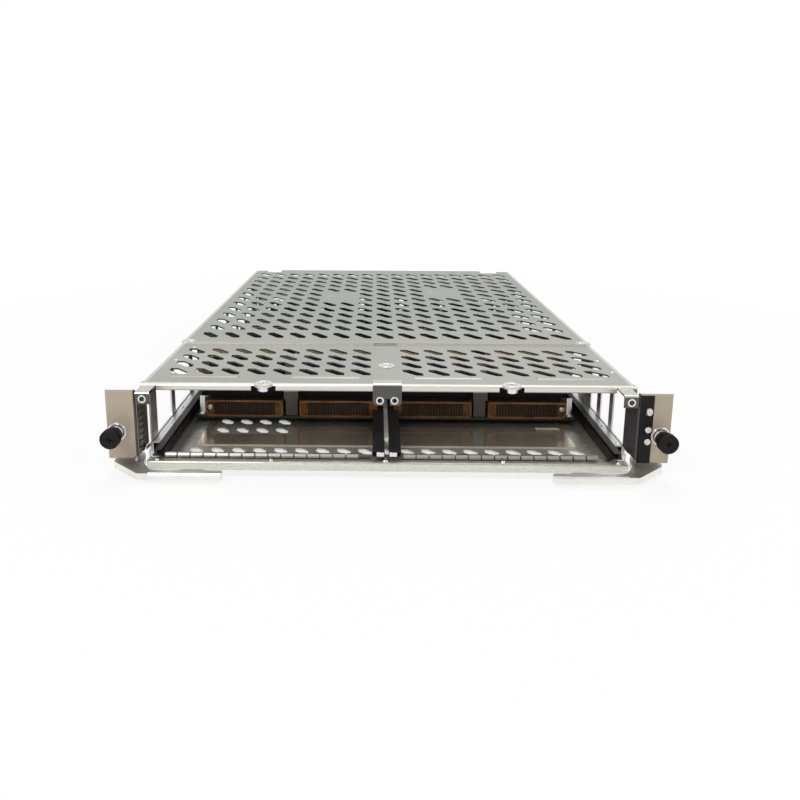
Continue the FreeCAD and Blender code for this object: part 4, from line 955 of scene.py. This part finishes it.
def cover_screw(proud):
    bpy.ops.object.select_all(action="DESELECT")
    bpy.ops.mesh.primitive_cone_add(vertices=HEAD_SIDES, radius1=SHANK_R * MM, radius2=HEAD_R * MM,
                                    depth=SCREW_SHEET * MM, location=(0, 0, -SCREW_SHEET / 2 * MM))
    screw = settle()
    pick(screw, lambda c, n: n.z < -ALONG)
    push(0, 0, -SHANK)
    done()
    pick(screw, lambda c, n: n.z > ALONG)
    if proud:
        push(0, 0, proud)
    inset(HEAD_RIM)
    inset(GROOVE_SLOPE, -GROOVE_DEEP)
    inset(GROOVE_WIDE)
    inset(CROWN_SLOPE, GROOVE_DEEP - CROWN_DROP)
    done()
    round_edges(screw, HEAD_ROUND)
    cross_recess(screw, HEAD_CROSS, proud - CROWN_DROP, HEAD_CROSS_DEEP)
    return screw


def stud():
    rod = disc(SHANK_R, -SCREW_SHEET - SHANK, 0, SMALL_SIDES)
    combine(rod, disc(NUT_R, -2 * SCREW_SHEET, -SCREW_SHEET, NUT_SIDES), "UNION")
    round_edges(rod, STUD_ROUND)
    return rod


def spots(pairs, z):
    """Places at one level, from pairs across and behind the hem."""
    return [at(x, y, z) for x, y in pairs]


front_screws = copies(cover_screw(FRONT_PROUD), spots(FRONT_SCREWS, FRONT_TOP))
rear_screws = copies(cover_screw(REAR_PROUD), spots(REAR_SCREWS, REAR_TOP))
studs = copies(stud(), spots(STUDS, REAR_TOP))
keep(join(front_screws, rear_screws, studs), "cover_screw_set", "card", "plated_hardware",
     bright_steel, "cover_screws")

# %% [markdown]
# The three front screws sit in pale finishing washers. They are the same flat ring laid level,
# made apart from the screws because their finish is paler.

# %% Finishing washers
FINISH_R = 6.3
FINISH_WALL = 1.8
FINISH_THICK = 0.5
places = spots(FRONT_SCREWS, FRONT_TOP)
keep(copies(flat_ring(FINISH_R, FINISH_WALL, FINISH_THICK, "Z"), places), "cover_washers", "card",
     "plated_hardware", rib_zinc)

# %% [markdown]
# Each bay connector has a raised amber frame with rounded ends round its contact field. It is a
# thin bar whose four corners are bevelled round, with both faces inset and bridged. A smaller bar
# could be cut out of it, but the inset follows the round corners by itself.

# %% Connector frames
CONNECTORS = (-120, -40, 40, 120)
CONNECTOR_FACE = 82
CONNECTOR_LOW, CONNECTOR_TOP = 8.2, 22.5
CONNECTOR_WIDE = 66
CONNECTOR_MID = (CONNECTOR_LOW + CONNECTOR_TOP) / 2
FRAME_PROUD = 1.8
FRAME_WALL = 1.6
FRAME_CORNER, CORNER_STEPS = 4.0, 6
FRAME_ROUND = 0.35


def pick_edges(piece, test):
    """Edit mode, with those edges selected whose direction passes the test."""
    for edge in edit(piece, "EDGE").edges:
        edge.select_set(test((edge.verts[1].co - edge.verts[0].co).normalized()))
    bmesh.update_edit_mesh(piece.data)


def connector_frame():
    rim = bar(CONNECTOR_WIDE, FRAME_PROUD, CONNECTOR_TOP - CONNECTOR_LOW, (0, -FRAME_PROUD / 2, 0))
    pick_edges(rim, lambda d: abs(d.y) > ALONG)
    bpy.ops.mesh.bevel(offset=FRAME_CORNER * MM, segments=CORNER_STEPS, affect="EDGES")
    done()
    pick(rim, lambda c, n: abs(n.y) > ALONG)
    inset(FRAME_WALL)
    bpy.ops.mesh.bridge_edge_loops()
    done()
    round_edges(rim, FRAME_ROUND)
    return rim


connector_places = [at(x, CONNECTOR_FACE, CONNECTOR_MID) for x in CONNECTORS]
keep(copies(connector_frame(), connector_places), "connector_frames", "card", "amber_plastic",
     amber_edge)

# %% [markdown]
# Inside the frame lies the contact field: fine upright ribs with dark gaps. A grid of narrow
# columns is drawn out into a slab, and every second column is drawn out again as a rib. Loose
# bars side by side would look alike, but this way the field is one closed mesh.

# %% Contact fields
FIELD_WIDE = 51.6
FIELD_HIGH = 9.8
FIELD_COLUMNS = 43
FIELD_SLAB = 0.4
RIB = 0.9


def everywhere(centre, normal):
    return True


def contact_field():
    bpy.ops.object.select_all(action="DESELECT")
    bpy.ops.mesh.primitive_grid_add(x_subdivisions=FIELD_COLUMNS, y_subdivisions=1, size=1,
                                    rotation=(math.pi / 2, 0, 0))
    bpy.context.object.scale = (FIELD_WIDE * MM, FIELD_HIGH * MM, 1)
    field = settle()
    pick(field, everywhere)
    push(0, -FIELD_SLAB, 0)
    bpy.ops.mesh.select_all(action="SELECT")
    bpy.ops.mesh.normals_make_consistent(inside=False)
    done()
    column = FIELD_WIDE / FIELD_COLUMNS
    pick(field, lambda c, n: n.y < -ALONG and int((c.x + FIELD_WIDE / 2) / column) % 2 == 1)
    push(0, -RIB, 0)
    done()
    return field


keep(copies(contact_field(), connector_places), "contact_fields", "card", "amber_plastic",
     amber_field)

# %% [markdown]
# A pale upright tab stands on the board at the outer end of each outer connector. It is a bar
# whose foot is drawn forwards along the board, with its edges rounded. Two bars could be joined
# instead, but their walls would cross inside.

# %% Connector end tabs
TAB_X = 157.0
TAB_WIDE, TAB_DEEP, TAB_HIGH = 4.4, 1.0, 16.0
TAB_FOOT = 3.0
TAB_BACK = 88.0
TAB_ROUND = 0.2


def end_tab():
    tab = bar(TAB_WIDE, TAB_DEEP, TAB_HIGH, (0, 0, TAB_HIGH / 2))
    pick(tab, everywhere)
    bpy.ops.mesh.bisect(plane_co=(0, 0, TAB_DEEP * MM), plane_no=(0, 0, 1))
    done()
    pick(tab, lambda c, n: n.y < -ALONG and c.z < TAB_DEEP)
    push(0, -TAB_FOOT, 0)
    done()
    round_edges(tab, TAB_ROUND)
    return tab


places = [at(side * TAB_X, TAB_BACK, CONNECTOR_LOW) for side in (-1, 1)]
keep(copies(end_tab(), places), "connector_tabs", "card", "zinc_sheet", pale_zinc)

# %% [markdown]
# The front lip is screwed down by small pan-head screws on a washer. A disc with rounded edges
# makes the head, a thinner one the washer, and a cross is cut into the top. The middle one, below
# the divider, is larger. Head and washer are united by a boolean, which leaves no wall between
# them.

# %% Lip screws
PAN_R = 1.8
PAN_HIGH = 1.2
PAN_ROUND, PAN_STEPS = 0.5, 3
PAN_CROSS, PAN_CROSS_DEEP = 1.9, 0.6
WASHER_R = 2.25
WASHER = 0.35
LIP_TOP = 6.5
LIP_SCREWS = ((-169, -3.7), (-85, -3.7), (85, -3.7), (169, -3.7))
MIDDLE_SCREW = ((-1, -2.4),)
MIDDLE_GROW = 1.4


def pan_screw(grow=1.0):
    screw = disc(PAN_R * grow, 0, WASHER + PAN_HIGH, SMALL_SIDES)
    round_edges(screw, PAN_ROUND, PAN_STEPS)
    combine(screw, disc(WASHER_R * grow, 0, WASHER, SMALL_SIDES), "UNION")
    cross_recess(screw, PAN_CROSS * grow, WASHER + PAN_HIGH, PAN_CROSS_DEEP)
    return screw


small_screws = copies(pan_screw(), spots(LIP_SCREWS, LIP_TOP))
middle_screw = copies(pan_screw(MIDDLE_GROW), spots(MIDDLE_SCREW, LIP_TOP))
keep(join(small_screws, middle_screw), "lip_screws", "card", "plated_hardware", bright_steel)

# %% [markdown]
# A small bright clip closes the front end of each middle guide, beside the mouth of its groove. It
# is a thin bar whose front face is stepped, with its edges rounded. A plain plate would be enough
# from afar, but the step gives it an edge that catches the light.

# %% Clips on the middle guides
CLIP_X, CLIP_Z = 4.7, 12.8
CLIP_WIDE, CLIP_DEEP, CLIP_HIGH = 5.4, 0.6, 3.2
CLIP_RIM, CLIP_STEP = 0.8, 0.3
CLIP_ROUND = 0.15
guide_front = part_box("centre_left_rail")[0].y


def guide_clip():
    clip = bar(CLIP_WIDE, CLIP_DEEP, CLIP_HIGH, (0, -CLIP_DEEP / 2, 0))
    pick(clip, lambda c, n: n.y < -ALONG)
    inset(CLIP_RIM, CLIP_STEP)
    done()
    round_edges(clip, CLIP_ROUND)
    return clip


places = [(side * CLIP_X * MM, guide_front, CLIP_Z * MM) for side in (-1, 1)]
keep(copies(guide_clip(), places), "guide_clips", "card", "plated_hardware", bright_steel)

# %% [markdown]
# Weld studs and rivet heads show as small round bumps on the front cover and on the ledges beside
# the card guides. A half sphere would do, but takes more faces; one low disc with a stepped top
# and soft edges looks as round at this size and serves for all of them.

# %% Rivet heads
BUMP_R, BUMP_LOW = 1.6, 0.35
BUMP_SIDES = 20
BUMP_STEPS = ((0.45, 0.2), (0.5, 0.08))
BUMP_ROUND = 0.08
COVER_BUMPS = ((-163.5, 26.4), (-170.2, 60.3), (-165.3, 98.6), (171.4, 65.9), (173.4, 35.0),
               (-2.4, 10.0))
LEDGE_X, LEDGE_TOP = 174.5, 14.0
LEDGE_Y = (16.0, 51.0, 87.0)


def rivet_head():
    head = disc(BUMP_R, 0, BUMP_LOW, BUMP_SIDES)
    pick(head, lambda c, n: n.z > ALONG)
    for width, lift in BUMP_STEPS:
        inset(width, lift)
    done()
    round_edges(head, BUMP_ROUND)
    return head


places = spots(COVER_BUMPS, FRONT_TOP)
places += [at(side * LEDGE_X, y, LEDGE_TOP) for side in (-1, 1) for y in LEDGE_Y]
keep(copies(rivet_head(), places), "rivet_heads", "card", "plated_hardware", bright_steel)

# %% [markdown]
# The release button is a pale oval cap with a pinhole, held behind the plate by a wider foot. It
# is a cylinder stretched upwards, and the foot is drawn from its rear face. The pinhole could be
# an inset, but that would be oval like the cap, so a round pin is cut out.

# %% Release button
BUTTON_WIDE, BUTTON_HIGH = 3.8, 5.2
CAP_LENGTH = 2.9
CAP_SIDES = 32
CAP_ROUND = 0.25
FOOT_STEP = 0.02
PINHOLE_R, PINHOLE_SIDES = 0.55, 16
PINHOLE_FROM, PINHOLE_TO = -1, 0.9
low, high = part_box("release_button")
print("button box", [round(v / MM, 2) for v in (*low, *high)])
foot_wide, foot_deep, foot_high = (high - low) / MM
cap = disc(BUTTON_WIDE / 2, 0, CAP_LENGTH, CAP_SIDES, "Y")
pick(cap, everywhere)
bpy.ops.transform.resize(value=(1, 1, BUTTON_HIGH / BUTTON_WIDE))
done()
pick(cap, lambda c, n: n.y > ALONG)
push(0, FOOT_STEP, 0)
bpy.ops.transform.resize(value=(foot_wide / BUTTON_WIDE, 1, foot_high / BUTTON_HIGH))
push(0, foot_deep - CAP_LENGTH - FOOT_STEP, 0)
done()
round_edges(cap, CAP_ROUND)
combine(cap, disc(PINHOLE_R, PINHOLE_FROM, PINHOLE_TO, PINHOLE_SIDES, "Y"), "DIFFERENCE")
keep(copies(cap, [((low.x + high.x) / 2, low.y, (low.z + high.z) / 2)]), "button_cap", "button",
     "clear_lens", pale, "release_button")

# %% [markdown]
# The rear connectors carry rows of gold-plated contacts. Each is a thin bar with a pointed end,
# made once and copied along the slots. There are hundreds of them, so rounded edges are left off
# and each has only a few faces.

# %% Rear contacts
BACK_CENTRES = (-113.6, -56.8, 0, 56.8, 113.6)
BACK_LEVELS = (12.45, 16.7, 20.95)
BACK_PITCH = 2.1
BACK_EACH = 21
CONTACT_START, CONTACT_END = 512, 519.4
CONTACT_LONG = CONTACT_END - CONTACT_START
CONTACT_WIDE, CONTACT_HIGH = 0.8, 1.0
POINT_SLOPE, POINT_LONG = 0.3, 0.4


def rear_contact():
    contact = bar(CONTACT_WIDE, CONTACT_LONG, CONTACT_HIGH, (0, CONTACT_LONG / 2, 0))
    pick(contact, lambda c, n: n.y > ALONG)
    inset(POINT_SLOPE, POINT_LONG)
    done()
    return contact


places = [at(x + BACK_PITCH * (i - (BACK_EACH - 1) / 2), CONTACT_START, z)
          for x in BACK_CENTRES for z in BACK_LEVELS for i in range(BACK_EACH)]
keep(copies(rear_contact(), places), "rear_contacts", "card", "plated_hardware", gold)

# %% [markdown]
# On the board stand small packages, as on most such cards. A package is a low box with a stepped
# top and a row of short legs along two sides. The legs could be drawn from the box, but its sides
# would first have to be cut into strips, so they are small stepped bars joined to it.

# %% Packages on the board
BOARD_TOP = 8.2
PACKAGE_WIDE, PACKAGE_DEEP, PACKAGE_HIGH = 11.0, 8.0, 1.7
PACKAGE_LIFT = 0.3
PACKAGE_RIM, PACKAGE_STEP = 0.4, 0.15
LEGS = 6
LEG_WIDE, LEG_DEEP, LEG_HIGH = 0.8, 1.6, 0.5
LEG_RIM, LEG_STEP = 0.1, 0.1
LEG_OUT = 0.1
PACKAGE_ROWS = ((334.0, range(-135, -40, 24)), (338.0, range(35, 140, 26)),
                (415.0, range(-140, 141, 28)))


def stepped_bar(wide, deep, high, lift, rim, step):
    """A low bar over the board whose top is inset and raised."""
    block = bar(wide, deep, high, (0, 0, high / 2 + lift))
    pick(block, lambda c, n: n.z > ALONG)
    inset(rim, step)
    done()
    return block


def package():
    body = stepped_bar(PACKAGE_WIDE, PACKAGE_DEEP, PACKAGE_HIGH, PACKAGE_LIFT, PACKAGE_RIM,
                       PACKAGE_STEP)
    leg = stepped_bar(LEG_WIDE, LEG_DEEP, LEG_HIGH, 0, LEG_RIM, LEG_STEP)
    pitch = PACKAGE_WIDE / LEGS
    legs = copies(leg, [((i - (LEGS - 1) / 2) * pitch * MM,
                         side * (PACKAGE_DEEP / 2 + LEG_OUT) * MM, 0)
                        for side in (-1, 1) for i in range(LEGS)])
    return join(body, legs)


places = [at(x, y, BOARD_TOP) for y, row in PACKAGE_ROWS for x in row]
keep(copies(package(), places), "board_packages", "card", "black_plastic", black)

# %% [markdown]
# A row of capacitors stands across the board, with a gap in the middle. A capacitor is a can with
# a sunken top and rounded edges: a cylinder with its top inset and lowered, which is simpler than
# a spun profile and looks the same.

# %% Capacitors on the board
CAN_R, CAN_HIGH = 4.0, 9.5
CAN_RIM, CAN_SUNK = 0.5, 0.3
CAN_ROUND = 0.3
CAN_Y = 172
CAN_ROW = range(-140, 141, 20)
CAN_GAP = 15


def can():
    tin = disc(CAN_R, 0, CAN_HIGH, SMALL_SIDES)
    pick(tin, lambda c, n: n.z > ALONG)
    inset(CAN_RIM, -CAN_SUNK)
    done()
    round_edges(tin, CAN_ROUND)
    return tin


places = [at(x, CAN_Y, BOARD_TOP) for x in CAN_ROW if abs(x) > CAN_GAP]
keep(copies(can(), places), "board_cans", "card", "bare_aluminium", extruded)

# %% [markdown]
# The levers are thick plates whose edges are broken by tumbling. A weld joins the frame's loose
# triangles, and a narrow bevel rounds the edges so that they catch the light. Both stay live
# modifiers, so the frame's own mesh is left as it is.

# %% Soft lever edges
WELD_REACH = 0.01
EDGE, EDGE_STEPS, EDGE_ANGLE = 0.3, 2, 50
for name in ("left_lever", "right_lever"):
    weld = nodes[name].modifiers.new("weld", "WELD")
    weld.merge_threshold = WELD_REACH * MM
    bevel = add_bevel(nodes[name], "soft_edge", EDGE, EDGE_STEPS, EDGE_ANGLE)
    bevel.harden_normals = True
print("lever edges softened by", EDGE, "mm")
